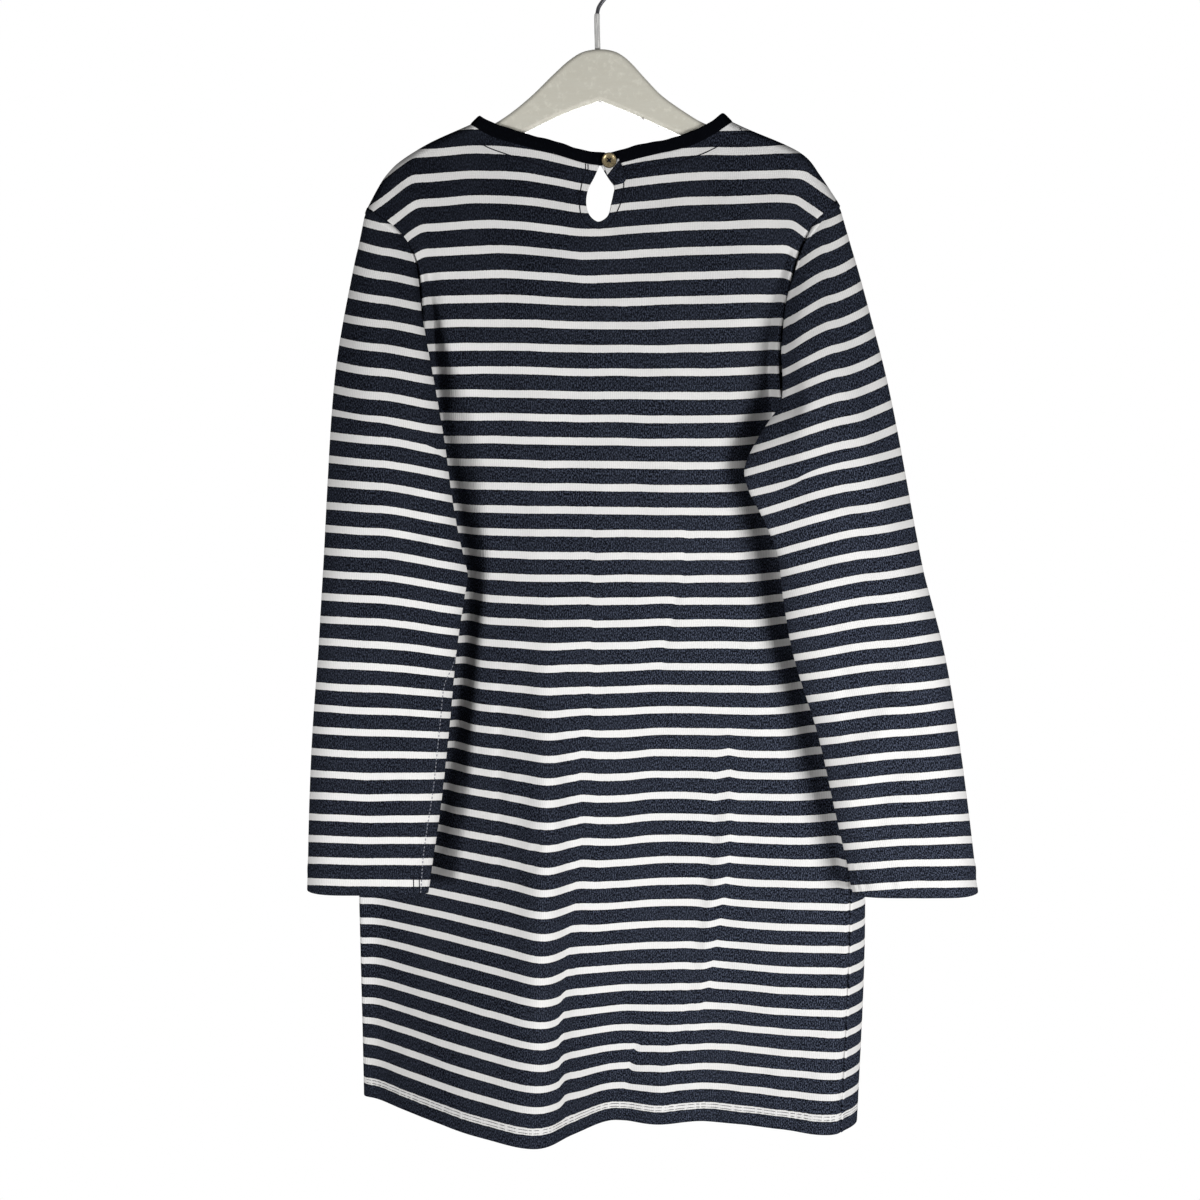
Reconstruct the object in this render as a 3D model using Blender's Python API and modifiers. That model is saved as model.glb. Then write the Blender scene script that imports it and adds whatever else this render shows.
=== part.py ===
"""Striped sweatshirt dress with a keyhole back, hanging on a wooden hanger.

Blender 4.5, metres, +Z up. The tables are in millimetres. The origin is the
inner top of the hook's crook, where a rail would carry the hanger. The back of
the dress faces -Y and its front faces +Y. Left and right are as seen from -Y.
"""
import math

import bmesh
import bpy
from mathutils import Vector

MM = 0.001
GAP = 0.3                # between pieces that meet at a seam
CLOTH = 1.5              # wall of the knit cloth
BINDING_WALL = 2.2       # folded strip, four layers of knit
BINDING_WIDTH = 9.5
BINDING_GAP = 0.4
NECK_POINT_GAP = 0.8     # more gap where the neck edge turns over the hanger
HANG_DEPTH = 8.2         # cloth to the hanger's middle plane, front and back
SHOULDER_ROLL = 7.0      # drop in which the cloth turns down over the hanger's arm
SHOULDER_SEAM = 0.8      # between the two panels along the shoulder seams
SIDE_SEAM = 0.8          # and along the side seams

ARMPIT_Z = -424.0        # underarm, where the side seams start
SLEEVE_RING_Z = -480.0   # first level at which the sleeves are whole tubes
CUFF_Z = -742.0
HEM_Z = -947.0

# Grid columns, as shares of the way across: close together at the side seams
# and beside the neck points, where the neck edge turns over the hanger.
SHOULDER_SHARES = (0, .008, .022, .045, .08, .125, .18, .25)
NECK_TURN = .012
SIDE_TURN = .05          # share of a panel that turns at the side seam
ARMHOLE_REACH = .24      # share of a panel that bends to meet the armhole seam
NECK_COLUMNS = 12
BODY_ROWS = 11           # grid rows from the underarm to the hem
SLEEVE_HEAD_ROWS = 9
FIRST_STEPS = (2.5, 6.0)  # straight out of the armhole seam
SLEEVE_TUBE_ROWS = 7

# Share of the way from the shoulder and neck edge down to the underarm level.
YOKE_SHARES = (0, .006, .016, .035, .08, .16, .26, .37, .48, .6, .72, .84, .93, 1)

# Top edges. Each row is (x, z).
SHOULDER_LEFT = ((-180, -197), (-171, -181), (-163.5, -170), (-152, -159.5),
                 (-129, -146), (-99, -133))
SHOULDER_RIGHT = ((101, -131), (117, -138), (143, -148.5), (159, -158),
                  (169.5, -171.5), (184, -192))
BACK_NECK = ((-99, -133), (-82, -142), (-60, -148.5), (-36, -155), (0, -163.5),
             (36, -156.5), (64, -150.5), (84, -142), (101, -131))
FRONT_NECK = ((-99, -133), (-94, -157), (-84, -180), (-66, -205), (-40, -223),
              (0, -232), (40, -223), (67, -205), (85, -180), (96, -156),
              (101, -131))

# Armhole seams, shoulder tip to underarm. Each row is (x, y, z).
BACK_ARMHOLE_LEFT = (
    (-180, -.5, -197), (-177, -6, -199.5), (-166, -8, -206), (-151, -8, -218),
    (-141, -7, -236), (-138, -3, -270), (-138, 2, -310), (-143, 8, -350),
    (-158, 15, -390), (-176, 22, -415), (-188, 28, -424))
FRONT_ARMHOLE_LEFT = (
    (-180, .5, -197), (-178.5, 6, -200), (-172, 9, -210), (-164, 12, -225),
    (-155, 18, -255), (-151, 24, -295), (-152, 29, -335), (-160, 33, -375),
    (-174, 33, -408), (-188, 28, -424))
BACK_ARMHOLE_RIGHT = (
    (184, -.5, -192), (181, -6, -194.5), (170, -8, -202), (158, -8, -219),
    (149, -8, -244), (142, -7, -280), (140, -3, -318), (146, 3, -355),
    (161, 10, -392), (180, 17, -415), (194, 22, -424))
FRONT_ARMHOLE_RIGHT = (
    (184, .5, -192), (182.5, 6, -195), (176, 9, -206), (168, 12, -222),
    (158, 17, -253), (153, 22, -293), (154, 26, -335), (163, 29, -375),
    (179, 28, -408), (194, 22, -424))

# Folds of the body. Each row is one fold line that runs down the cloth, and
# each pair is its (x, y) at the levels below. The rows go round the body: the
# back from the left side seam to the right one, then the front back again.
BODY_LEVELS = (ARMPIT_Z, -540.0, -680.0, -800.0, HEM_Z)
BACK_FOLDS = (
    ("left seam",    (-188, 28), (-196, 44), (-200, 61), (-201, 69), (-201, 68)),
    ("left turn",    (-183, 23), (-196, 37), (-204, 52), (-205, 59), (-204.5, 57)),
    ("left flank",   (-154, 21), (-168, 31), (-180, 43), (-185, 55), (-188, 46)),
    ("left slope",   (-115, 16), (-124, 22), (-132, 27), (-133, 20), (-134, 1)),
    ("slope foot",   (-85, 10), (-88, 7), (-89, 4), (-92, -9), (-92, -28)),
    ("crest",        (-52, 5), (-48, -10), (-46, -26), (-49, -37), (-51, -44)),
    ("crest step",   (-28, 4), (-26, -8), (-22, -13), (-22, -17), (-24, -19)),
    ("valley",       (0, 1), (-4, -6), (-2, -9), (0, -10), (3, 6)),
    ("valley side",  (22, -2), (22, -5), (20, -6), (21, -5), (21, 9)),
    ("flat left",    (55, -6), (50, 0), (50, 3), (52, -2), (48, 0)),
    ("flat right",   (100, -7), (100, -3), (98, 0), (99, 0), (88, 7)),
    ("right swell",  (145, -3), (146, -5), (148, -4), (150, -10), (150, -8)),
    ("right flank",  (184, 14), (188, 3), (190, -8), (190, -12.5), (183, -19)),
    ("right seam",   (194, 22), (203, 12), (204, -6), (204, -12), (200, -14)))
FRONT_FOLDS = (
    ("right edge",   (193, 29), (209, 22), (216, 8), (219, 8), (216, 7)),
    ("right round",  (178, 34), (200, 36), (209, 31), (212, 32), (209, 33)),
    ("right front",  (146, 38), (152, 50), (157, 57), (160, 61), (162, 65)),
    ("front fold 1", (92, 43), (92, 57), (95, 70), (95, 80), (95, 88)),
    ("front dip 1",  (32, 39), (32, 53), (32, 65), (33, 73), (34, 77)),
    ("front fold 2", (-28, 43), (-30, 59), (-30, 74), (-30, 86), (-28, 94)),
    ("front dip 2",  (-88, 38), (-90, 54), (-92, 66), (-93, 72), (-92, 75)),
    ("front fold 3", (-140, 42), (-148, 60), (-150, 75), (-150, 86), (-150, 93)),
    ("left round",   (-184, 35), (-190, 54), (-194, 71), (-194, 81), (-193, 81)))

# Heads of the sleeves, from the underarm up the back armhole, over the
# shoulder tip and down the front one. Columns: share of the way round the
# armhole, way the cloth leaves the seam, a point half way down on the left
# sleeve and on the right one, and share of the way round the first whole ring.
SLEEVE_HEADS = (
    ("underarm",       0.00, (-.9, -.35, -.25), (-186, 6, -447), (192, -2, -447), -.08),
    ("lower back",     0.09, (-.35, -.93, 0), (-146, 1, -426), (150, -12, -424), -.03),
    ("mid back",       0.18, (-.1, -1, 0), (-125, -6, -402), (122, -18, -402), .02),
    ("inner fold",     0.26, (0, -1, -.1), (-120, -12, -394), (114, -24, -393), .07),
    ("upper back",     0.33, (0, -.9, -.4), (-124, -22, -374), (122, -35, -368), .13),
    ("back notch",     0.40, (-.45, -.5, -.75), (-140, -28, -350), (146, -40, -345), .21),
    ("back cap",       0.44, (-.55, -.25, -.8), (-161, -28, -340), (172, -39, -338), .29),
    ("cap shoulder",   0.48, (-.5, -.2, -.85), (-186, -22, -334), (199, -31, -334), .39),
    ("shoulder tip",   0.517, (-.5, 0, -.87), (-206, -3, -322), (222, -10, -325), .50),
    ("front cap",      0.56, (-.6, .3, -.75), (-203, 14, -330), (219, 8, -335), .59),
    ("front notch",    0.65, (-.9, .25, -.4), (-203, 18, -362), (216, 12, -362), .69),
    ("mid front",      0.81, (-1, -.1, -.1), (-205, 11, -404), (214, 4, -404), .80),
    ("lower front",    0.95, (-1, -.1, -.1), (-201, 8, -434), (208, 1, -434), .88))

# Rings of the sleeves below the head: height, inner and outer edge (x, y),
# depth of the side towards -Y and of the far side.
LEFT_SLEEVE_RINGS = (
    (SLEEVE_RING_Z, (-105.5, -8), (-219.5, -5), -31, 2),
    (-540.0, (-115, -10), (-224.5, -6), -30, 2),
    (-606.0, (-122, -10), (-231, -4), -29, 6),
    (-672.0, (-130, -10), (-236, 0), -28, 9),
    (CUFF_Z, (-141, -10), (-240, 5), -25, 11))
RIGHT_SLEEVE_RINGS = (
    (SLEEVE_RING_Z, (142, -24), (256, -10), -46, -12),
    (-540.0, (153, -24), (273.5, -8), -44, -13),
    (-606.0, (174, -25), (287, -6), -44, -16),
    (-672.0, (189.5, -26), (298, -4), -44, -18),
    (CUFF_Z, (205, -27), (308, -2), -43, -19))

KEYHOLE = ((-1, -163), (-5, -172), (-9.6, -181), (-11.2, -189), (-10.2, -197),
           (-7, -202.5), (-1, -206), (5, -203.5), (8.2, -197), (10.3, -189),
           (11.2, -181), (6, -173), (1, -163))
KEYHOLE_SLOT_TOP = -150
KEYHOLE_CUT_DEPTH = 14
BINDING_END_LEFT = -0.6
BINDING_END_RIGHT = 1.6

BUTTON_CENTRE = (7.0, -160.0)
BUTTON_DIAMETER = 11.7
BUTTON_THICKNESS = 2.6
BUTTON_RIM = 1.3
BUTTON_DISH = 0.7
BUTTON_HOLE_DIAMETER = 1.5
BUTTON_HOLE_PITCH = 2.9

HANGER_THICKNESS = 12.0
HANGER_EDGE_RADIUS = 3.2
HANGER_TOP = ((-155.5, -169), (-145, -160.5), (-129, -151), (-104, -140.5),
              (-87, -135), (-71, -126), (-53, -112), (-36, -96), (-24, -85.5),
              (-13, -79), (0, -77), (12, -79), (22, -85.5), (34, -98), (47, -111),
              (62, -121.5), (78, -131), (92, -135.5), (110, -140), (143, -153.5),
              (158, -163.5))
HANGER_BOTTOM = ((161, -171), (152, -177.5), (104, -159), (60, -140), (28, -126))
HANGER_NOTCH = (0, -115)
HANGER_BOTTOM_LEFT = ((-28, -125), (-60, -140), (-104, -161), (-149, -182), (-158, -176))

WIRE = 3.0
HOOK_RADIUS = 17.0       # inside the crook
HOOK_STEM_TOP = -50.0
HOOK_STEM_X = -1.8       # the stem stands a little left of the crown's middle
HOOK_STEM_DEPTH = 18.0   # how far the stem goes into the board


def smooth_between(stops, values, at):
    """Value at a place along a smooth curve through values set at stops."""
    last = len(stops) - 1
    if at <= stops[0]:
        return values[0]
    if at >= stops[last]:
        return values[last]
    i = max(k for k in range(last) if stops[k] <= at)
    step = stops[i + 1] - stops[i]
    t = (at - stops[i]) / step

    def slope(k):
        before, after = max(k - 1, 0), min(k + 1, last)
        return (values[after] - values[before]) * (step / (stops[after] - stops[before]))

    rise = values[i + 1] - values[i]
    a = slope(i)
    b = slope(i + 1)
    return values[i] + a * t + (rise * 3 - a * 2 - b) * t ** 2 + (a + b - rise * 2) * t ** 3


class Line:
    """A smooth line through points that is read by the share of its length."""

    def __init__(self, points, closed=False, steps=12):
        points = [Vector(p) for p in points]
        count = len(points)
        if closed:
            points = points[-1:] + points + points[:2]
        else:
            points = [points[0] * 2 - points[1]] + points + [points[-1] * 2 - points[-2]]
        self.points = []
        spans = count if closed else count - 1
        for k in range(1, spans + 1):
            p0, p1, p2, p3 = points[k - 1:k + 3]
            for s in range(steps):
                t = s / steps
                self.points.append(p1 + (p2 - p0) * (t / 2)
                                   + (p0 * 2 - p1 * 5 + p2 * 4 - p3) * (t * t / 2)
                                   + (p1 * 3 - p0 - p2 * 3 + p3) * (t ** 3 / 2))
        self.points.append(points[spans + 1].copy())
        self.reach = [0.0]
        for a, b in zip(self.points, self.points[1:]):
            self.reach.append(self.reach[-1] + (b - a).length)
        self.knots = [self.reach[k * steps] for k in range(spans + 1)]
        self.length = self.reach[-1]

    def at(self, distance):
        distance = min(max(distance, 0.0), self.length)
        low, high = 0, len(self.reach) - 1
        while high - low > 1:
            middle = (low + high) // 2
            if self.reach[middle] <= distance:
                low = middle
            else:
                high = middle
        span = self.reach[high] - self.reach[low]
        t = (distance - self.reach[low]) / span if span else 0.0
        return self.points[low].lerp(self.points[high], t)

    def share(self, share):
        return self.at(share * self.length)


def body_ring(z):
    """The body's closed section at a height, and where its right seam lies on it."""
    down = [-level for level in BODY_LEVELS]
    points = [smooth_between(down, [Vector(p) for p in fold[1:]], -z)
              for fold in BACK_FOLDS + FRONT_FOLDS]
    ring = Line(points, closed=True)
    return ring, ring.knots[len(BACK_FOLDS) - 1]


def body_point(side, u, z):
    """Point of the back or front at a height, u of the way from left to right."""
    ring, right_seam = body_ring(z)
    inset = SIDE_SEAM / 2
    if side == "back":
        flat = ring.at(inset + u * (right_seam - 2 * inset))
    else:
        flat = ring.at(ring.length - inset - u * (ring.length - right_seam - 2 * inset))
    return Vector((flat.x, flat.y, z))


def top_edge(neck):
    """The upper edge of a panel as (x, z) by grid share, from tip to tip."""
    parts = [Line(SHOULDER_LEFT), Line(neck), Line(SHOULDER_RIGHT)]
    first = SHOULDER_SHARES[-1]

    def at(u):
        if u < first:
            return parts[0].share(u / first)
        if u > 1 - first:
            return parts[2].share((u - 1 + first) / first)
        return parts[1].share((u - first) / (1 - 2 * first))
    return at


class Panel:
    """Back or front of the dress as a surface of u (across) and row (down)."""

    def __init__(self, side):
        self.side = side
        self.sign = -1 if side == "back" else 1
        self.top = top_edge(BACK_NECK if side == "back" else FRONT_NECK)
        back = side == "back"
        self.left = Line(BACK_ARMHOLE_LEFT if back else FRONT_ARMHOLE_LEFT)
        self.right = Line(BACK_ARMHOLE_RIGHT if back else FRONT_ARMHOLE_RIGHT)

    def depth_on_hanger(self, u, drop):
        """Distance to the hanger's middle plane at a drop below the top edge."""
        past_neck_point = max(min(u, 1 - u) - SHOULDER_SHARES[-1], 0)
        drop += past_neck_point / NECK_TURN * SHOULDER_ROLL
        over = 1 - min(drop / SHOULDER_ROLL, 1)
        half_seam = SHOULDER_SEAM / 2
        return self.sign * (half_seam + (HANG_DEPTH - half_seam) * math.sqrt(1 - over * over))

    def yoke_base(self, u, share):
        top = self.top(u)
        low = body_point(self.side, u, ARMPIT_Z)
        flat = low.copy()
        near = min(u, 1 - u) / SIDE_TURN
        if near < 1:
            flat = body_point(self.side, SIDE_TURN if u < .5 else 1 - SIDE_TURN, ARMPIT_Z)
            flat.x += (1 - near) * (body_point(self.side, round(u), ARMPIT_Z).x - flat.x)
        low = flat.lerp(low, max((share - .84) / .16, 0) ** 2)
        z = top.y + share * (ARMPIT_Z - top.y)
        x = top.x + share * (low.x - top.x)
        blend = min(max((share - .2) / .8, 0), 1)
        blend = blend * blend * (3 - 2 * blend)
        hung = self.depth_on_hanger(u, top.y - z)
        return Vector((x, hung + (low.y - hung) * blend, z))

    def yoke(self, u, share):
        """Surface above the underarm, drawn in at its sides to the armholes."""
        point = self.yoke_base(u, share)
        if share >= 1:
            return point
        for edge, away, end in ((self.left, u, 0), (self.right, 1 - u, 1)):
            if away < .5:
                shift = edge.share(share) - self.yoke_base(end, share)
                broad = 1 - 2 * away
                near = max(1 - (away / ARMHOLE_REACH) ** 2, 0) ** 2
                point.x += shift.x * broad
                point.z += shift.z * broad * broad
                point.y += shift.y * near
        return point

    def at(self, u, row):
        yoke_rows = len(YOKE_SHARES) - 1
        if row <= yoke_rows:
            return self.yoke(u, YOKE_SHARES[row])
        z = ARMPIT_Z + (row - yoke_rows) / BODY_ROWS * (HEM_Z - ARMPIT_Z)
        return body_point(self.side, u, z)


def panel_columns():
    """Shares of the way across at which the panels have a grid line."""
    left = list(SHOULDER_SHARES) + [SHOULDER_SHARES[-1] + NECK_TURN]
    neck = [left[-1] + (1 - 2 * left[-1]) * k / NECK_COLUMNS for k in range(1, NECK_COLUMNS)]
    return left + neck + [1 - share for share in reversed(left)]


def new_material(name, color, roughness, metallic=0.0):
    material = bpy.data.materials.new(name)
    material.use_nodes = True
    shader = material.node_tree.nodes["Principled BSDF"]
    shader.inputs["Base Color"].default_value = (*color, 1)
    shader.inputs["Roughness"].default_value = roughness
    shader.inputs["Metallic"].default_value = metallic
    return material


def add_object(name, data, material, collection):
    obj = bpy.data.objects.new(name, data)
    obj.data.materials.append(material)
    collection.objects.link(obj)
    return obj


def grid_mesh(name, place, columns, rows, closed=False):
    """A grid whose corners are moved to place(column, row), optionally a tube."""
    bm = bmesh.new()
    bmesh.ops.create_grid(bm, x_segments=columns, y_segments=rows, size=0.5)
    for vert in bm.verts:
        column = round((vert.co.x + 0.5) * columns)
        row = round((0.5 - vert.co.y) * rows)
        vert.co = place(column % columns if closed else column, row) * MM
    if closed:
        bmesh.ops.remove_doubles(bm, verts=bm.verts, dist=0.02 * MM)
    mesh = bpy.data.meshes.new(name)
    bm.to_mesh(mesh)
    bm.free()
    mesh.shade_smooth()
    return mesh


def add_wall(obj, thickness):
    """Gives an open surface its cloth thickness, half on each side."""
    wall = obj.modifiers.new("wall", 'SOLIDIFY')
    wall.thickness = thickness * MM
    wall.offset = 0
    wall.use_even_offset = False
    return wall


def hide_cutter(obj):
    obj.hide_render = True
    obj.display_type = 'WIRE'


def add_cut(obj, cutter):
    cut = obj.modifiers.new("cut " + cutter.name, 'BOOLEAN')
    cut.operation = 'DIFFERENCE'
    cut.solver = 'EXACT'
    cut.object = cutter


def curve_to_mesh_object(curve_obj, name, material, collection):
    """Makes a curve a mesh with its caps welded, so that it can be cut."""
    graph = bpy.context.evaluated_depsgraph_get()
    mesh = bpy.data.meshes.new_from_object(curve_obj.evaluated_get(graph))
    bm = bmesh.new()
    bm.from_mesh(mesh)
    bmesh.ops.remove_doubles(bm, verts=bm.verts, dist=0.01 * MM)
    bmesh.ops.recalc_face_normals(bm, faces=bm.faces)
    bm.to_mesh(mesh)
    bm.free()
    mesh.materials.clear()
    matrix = curve_obj.matrix_world.copy()
    bpy.data.objects.remove(curve_obj)
    obj = add_object(name, mesh, material, collection)
    obj.matrix_world = matrix
    return obj


def flat_outline(name, runs, thickness, edge_radius, collection):
    """A flat board: smooth runs of (x, z) that meet at sharp corners."""
    data = bpy.data.curves.new(name, 'CURVE')
    data.dimensions = '2D'
    data.fill_mode = 'BOTH'
    data.extrude = (thickness / 2 - edge_radius) * MM
    data.bevel_depth = edge_radius * MM
    data.bevel_resolution = 1
    data.offset = -edge_radius * MM
    corners = []
    for run in runs:
        line = Line(run, steps=3) if len(run) > 2 else None
        points = line.points if line else [Vector(p) for p in run]
        corners += points if not corners else points[1:]
    corners.pop()
    spline = data.splines.new('POLY')
    spline.points.add(len(corners) - 1)
    for point, corner in zip(spline.points, corners):
        point.co = (corner.x * MM, corner.y * MM, 0, 1)
    spline.use_cyclic_u = True
    obj = bpy.data.objects.new(name, data)
    obj.rotation_euler = (math.pi / 2, 0, 0)
    collection.objects.link(obj)
    bpy.context.view_layer.update()
    return obj


def make_panels(material, collection, cutters):
    panels = {}
    rows = len(YOKE_SHARES) - 1 + BODY_ROWS
    across = panel_columns()
    for side in ("back", "front"):
        panel = Panel(side)
        mesh = grid_mesh(side + "_panel", lambda c, r: panel.at(across[c], r),
                         len(across) - 1, rows)
        obj = add_object(side + "_panel", mesh, material, collection)
        add_wall(obj, CLOTH)
        panels[side] = (panel, obj)
    add_cut(panels["back"][1], make_keyhole_cutter(material, cutters))
    return panels["back"][0], panels["front"][0]


def make_keyhole_cutter(material, cutters):
    left_top = (KEYHOLE[0][0], KEYHOLE_SLOT_TOP)
    right_top = (KEYHOLE[-1][0], KEYHOLE_SLOT_TOP)
    outline = flat_outline("keyhole_outline", (KEYHOLE, (KEYHOLE[-1], right_top),
                                               (right_top, left_top),
                                               (left_top, KEYHOLE[0])),
                           KEYHOLE_CUT_DEPTH, 0, cutters)
    cutter = curve_to_mesh_object(outline, "keyhole_cutter", material, cutters)
    cutter.location.y = -HANG_DEPTH * MM
    hide_cutter(cutter)
    return cutter


class SleeveHead:
    """Columns of the sleeve from the armhole seam down to its first whole ring."""

    def __init__(self, panels, back, front, mirror, mid_column, rings):
        self.panels = panels
        self.mirror = mirror
        self.rings = rings
        self.back = back
        self.front = front
        self.loop = Line(list(reversed(back)) + list(front)[1:], steps=12)
        back_line = Line(back)
        self.tip = back_line.length / self.loop.length
        self.mid_column = mid_column
        shares = [share for share in YOKE_SHARES[1:]]
        back_shares = [self.tip * (1 - s) for s in reversed(shares)]
        front_shares = [self.tip + (1 - self.tip) * s for s in shares[:-1]]
        self.shares = back_shares + [self.tip] + front_shares

    def ring_share(self, key):
        """Share round the loop, made to match the table's share of the tip."""
        table_tip = SLEEVE_HEADS[8][1]
        if key <= table_tip:
            return key / table_tip * self.tip
        return self.tip + (key - table_tip) / (1 - table_tip) * (1 - self.tip)

    def key_values(self, share, column):
        stops = [self.ring_share(row[1]) for row in SLEEVE_HEADS] + [1.0]
        values = [row[column] for row in SLEEVE_HEADS]
        if column == 5:
            values.append(values[0] + 1.0)
        else:
            values = [Vector(v) for v in values] + [Vector(values[0])]
        return smooth_between(stops, values, share)

    def seam_point(self, column):
        count = len(YOKE_SHARES) - 1
        if column <= count:
            return Line(self.back).share(YOKE_SHARES[count - column])
        return Line(self.front).share(YOKE_SHARES[column - count])

    def outward(self, column):
        """Way out of the panel's surface at its armhole edge."""
        if column == 0:
            return Vector((-.8 * self.mirror, -.2, 1))
        count = len(YOKE_SHARES) - 1
        panel = self.panels[0 if column <= count else 1]
        share = YOKE_SHARES[abs(count - column)]
        edge, inside = (0, .012) if self.mirror > 0 else (1, .988)
        way = panel.yoke(edge, share) - panel.yoke(inside, share)
        last = 2 * count
        along = self.seam_point((column + 1) % last) - self.seam_point(column - 1)
        if column != count:
            way -= along * (way.dot(along) / along.length_squared)
        return way.normalized()

    def leaving(self, share):
        way = self.key_values(share, 2)
        return Vector((way.x * self.mirror, way.y, way.z)).normalized()


def ring_line(row):
    """Closed section of a sleeve: a soft flattened tube."""
    _, inner, outer, near_y, far_y = row
    inner, outer = Vector(inner), Vector(outer)

    def at(across, depth, lift):
        edge = inner.lerp(outer, across)
        return Vector((edge.x, edge.y + (depth - edge.y) * lift))

    return Line((inner, at(.05, near_y, .55), at(.2, near_y, .93), at(.5, near_y, 1),
                 at(.8, near_y, .93), at(.95, near_y, .55), outer,
                 at(.94, far_y, .6), at(.75, far_y, .95), at(.4, far_y, 1),
                 at(.1, far_y, .7)), closed=True)


def sleeve_ring(rings, z):
    down = [-row[0] for row in rings]
    mixed = [smooth_between(down, [row[k] if k > 2 else Vector(row[k]) for row in rings], -z)
             for k in range(1, 5)]
    return ring_line((z, *mixed))


def sleeve_point(rings, share, z):
    ring = sleeve_ring(rings, z)
    flat = ring.share(share % 1.0)
    return Vector((flat.x, flat.y, z))


def make_sleeve(name, head, material, collection):
    yoke_rows = len(YOKE_SHARES) - 1
    columns = 2 * yoke_rows
    step = (SLEEVE_RING_Z - CUFF_Z) / SLEEVE_TUBE_ROWS
    tables = []
    for column in range(columns):
        share = head.shares[column]
        seam = head.seam_point(column)
        way = head.leaving(share)
        outward = head.outward(column)
        fold = 1 - max(way.dot(outward), 0)
        start = seam + outward * (GAP + CLOTH / 2 * (.9 + .5 * fold))
        mid = head.key_values(share, head.mid_column)
        ring_share = head.key_values(share, 5)
        ring = sleeve_point(head.rings, ring_share, SLEEVE_RING_Z)
        below = sleeve_point(head.rings, ring_share, SLEEVE_RING_Z - step)
        route = (start, start + way * FIRST_STEPS[0], start + way * FIRST_STEPS[1],
                 mid, ring, below)
        tables.append((Line(route), ring_share))

    def place(column, row):
        line, ring_share = tables[column]
        if row <= SLEEVE_HEAD_ROWS:
            if row <= len(FIRST_STEPS):
                return line.at(line.knots[row])
            done = line.knots[len(FIRST_STEPS)]
            share = (row - len(FIRST_STEPS)) / (SLEEVE_HEAD_ROWS - len(FIRST_STEPS))
            return line.at(done + (line.knots[4] - done) * share)
        z = SLEEVE_RING_Z - (row - SLEEVE_HEAD_ROWS) * step
        return sleeve_point(head.rings, ring_share, z)

    mesh = grid_mesh(name, place, columns, SLEEVE_HEAD_ROWS + SLEEVE_TUBE_ROWS, closed=True)
    obj = add_object(name, mesh, material, collection)
    add_wall(obj, CLOTH)
    return obj


def make_binding(back, front, material, collection):
    """Strip along the neck edge: the back's two ends meet at the keyhole."""
    first = len(SHOULDER_SHARES) - 1
    neck = panel_columns()[first:-first]
    half = len(neck) // 2
    path = [(back, u) for u in reversed(neck[:half + 1])]
    path += [(front, u) for u in neck[1:-1]]
    path += [(back, u) for u in reversed(neck[half:])]
    edge = [panel.yoke(u, 0) for panel, u in path]
    inner = [panel.yoke(u, .02) for panel, u in path]
    edge[0].x = BINDING_END_LEFT
    edge[-1].x = BINDING_END_RIGHT
    neck_points = {half: 1, len(edge) - 1 - half: -1}
    ups = []
    for k, point in enumerate(edge):
        before, after = edge[max(k - 1, 0)], edge[min(k + 1, len(edge) - 1)]
        along = Vector((after.x - before.x, 0, after.z - before.z)).normalized()
        if k in neck_points:
            up = Vector((.72 * neck_points[k], 0, .69))
        else:
            up = point - inner[k]
            up.y = 0
            up = (up - along * up.dot(along)).normalized()
        ups.append(up)
    def place(column, row):
        near = max(1 - min(abs(column - k) for k in neck_points) / 3, 0)
        low = BINDING_GAP + NECK_POINT_GAP * near
        width = (BINDING_WIDTH, (low + BINDING_WIDTH) / 2, low)[row]
        return edge[column] + ups[column] * width

    mesh = grid_mesh("neck_binding", place, len(edge) - 1, 2)
    obj = add_object("neck_binding", mesh, material, collection)
    add_wall(obj, BINDING_WALL)
    return obj


def make_button(material, collection, cutters):
    """Turned four-hole button with a raised rim, on the binding's right end."""
    radius = BUTTON_DIAMETER / 2
    half = BUTTON_THICKNESS / 2
    profile = ((0, half - BUTTON_DISH), (radius - BUTTON_RIM - .6, half - BUTTON_DISH),
               (radius - BUTTON_RIM, half - .1), (radius - .7, half), (radius, half - .7),
               (radius, -half + .5), (radius - .6, -half), (0, -half))
    mesh = bpy.data.meshes.new("neck_button")
    mesh.from_pydata([(x * MM, 0, z * MM) for x, z in profile],
                     [(k, k + 1) for k in range(len(profile) - 1)], [])
    obj = add_object("neck_button", mesh, material, collection)
    turn = obj.modifiers.new("turn", 'SCREW')
    turn.steps = 32
    turn.render_steps = 32
    turn.use_merge_vertices = True
    turn.merge_threshold = 0.00001
    depth = HANG_DEPTH + BINDING_WALL / 2 + GAP + half
    obj.rotation_euler = (math.pi / 2, 0, 0)
    obj.location = (BUTTON_CENTRE[0] * MM, -depth * MM, BUTTON_CENTRE[1] * MM)
    bm = bmesh.new()
    for turn_angle in (65, 155, 245, 335):
        angle = math.radians(turn_angle)
        hole = bmesh.ops.create_cone(bm, cap_ends=True, segments=12, depth=2 * BUTTON_THICKNESS * MM,
                                     radius1=BUTTON_HOLE_DIAMETER / 2 * MM,
                                     radius2=BUTTON_HOLE_DIAMETER / 2 * MM)
        away = Vector((math.cos(angle), math.sin(angle), 0)) * (BUTTON_HOLE_PITCH / 2 * MM)
        bmesh.ops.translate(bm, verts=hole["verts"], vec=away)
    holes = bpy.data.meshes.new("button_holes")
    bm.to_mesh(holes)
    bm.free()
    cutter = add_object("button_holes", holes, material, cutters)
    cutter.rotation_euler = obj.rotation_euler
    cutter.location = obj.location
    hide_cutter(cutter)
    add_cut(obj, cutter)
    return obj


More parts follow.
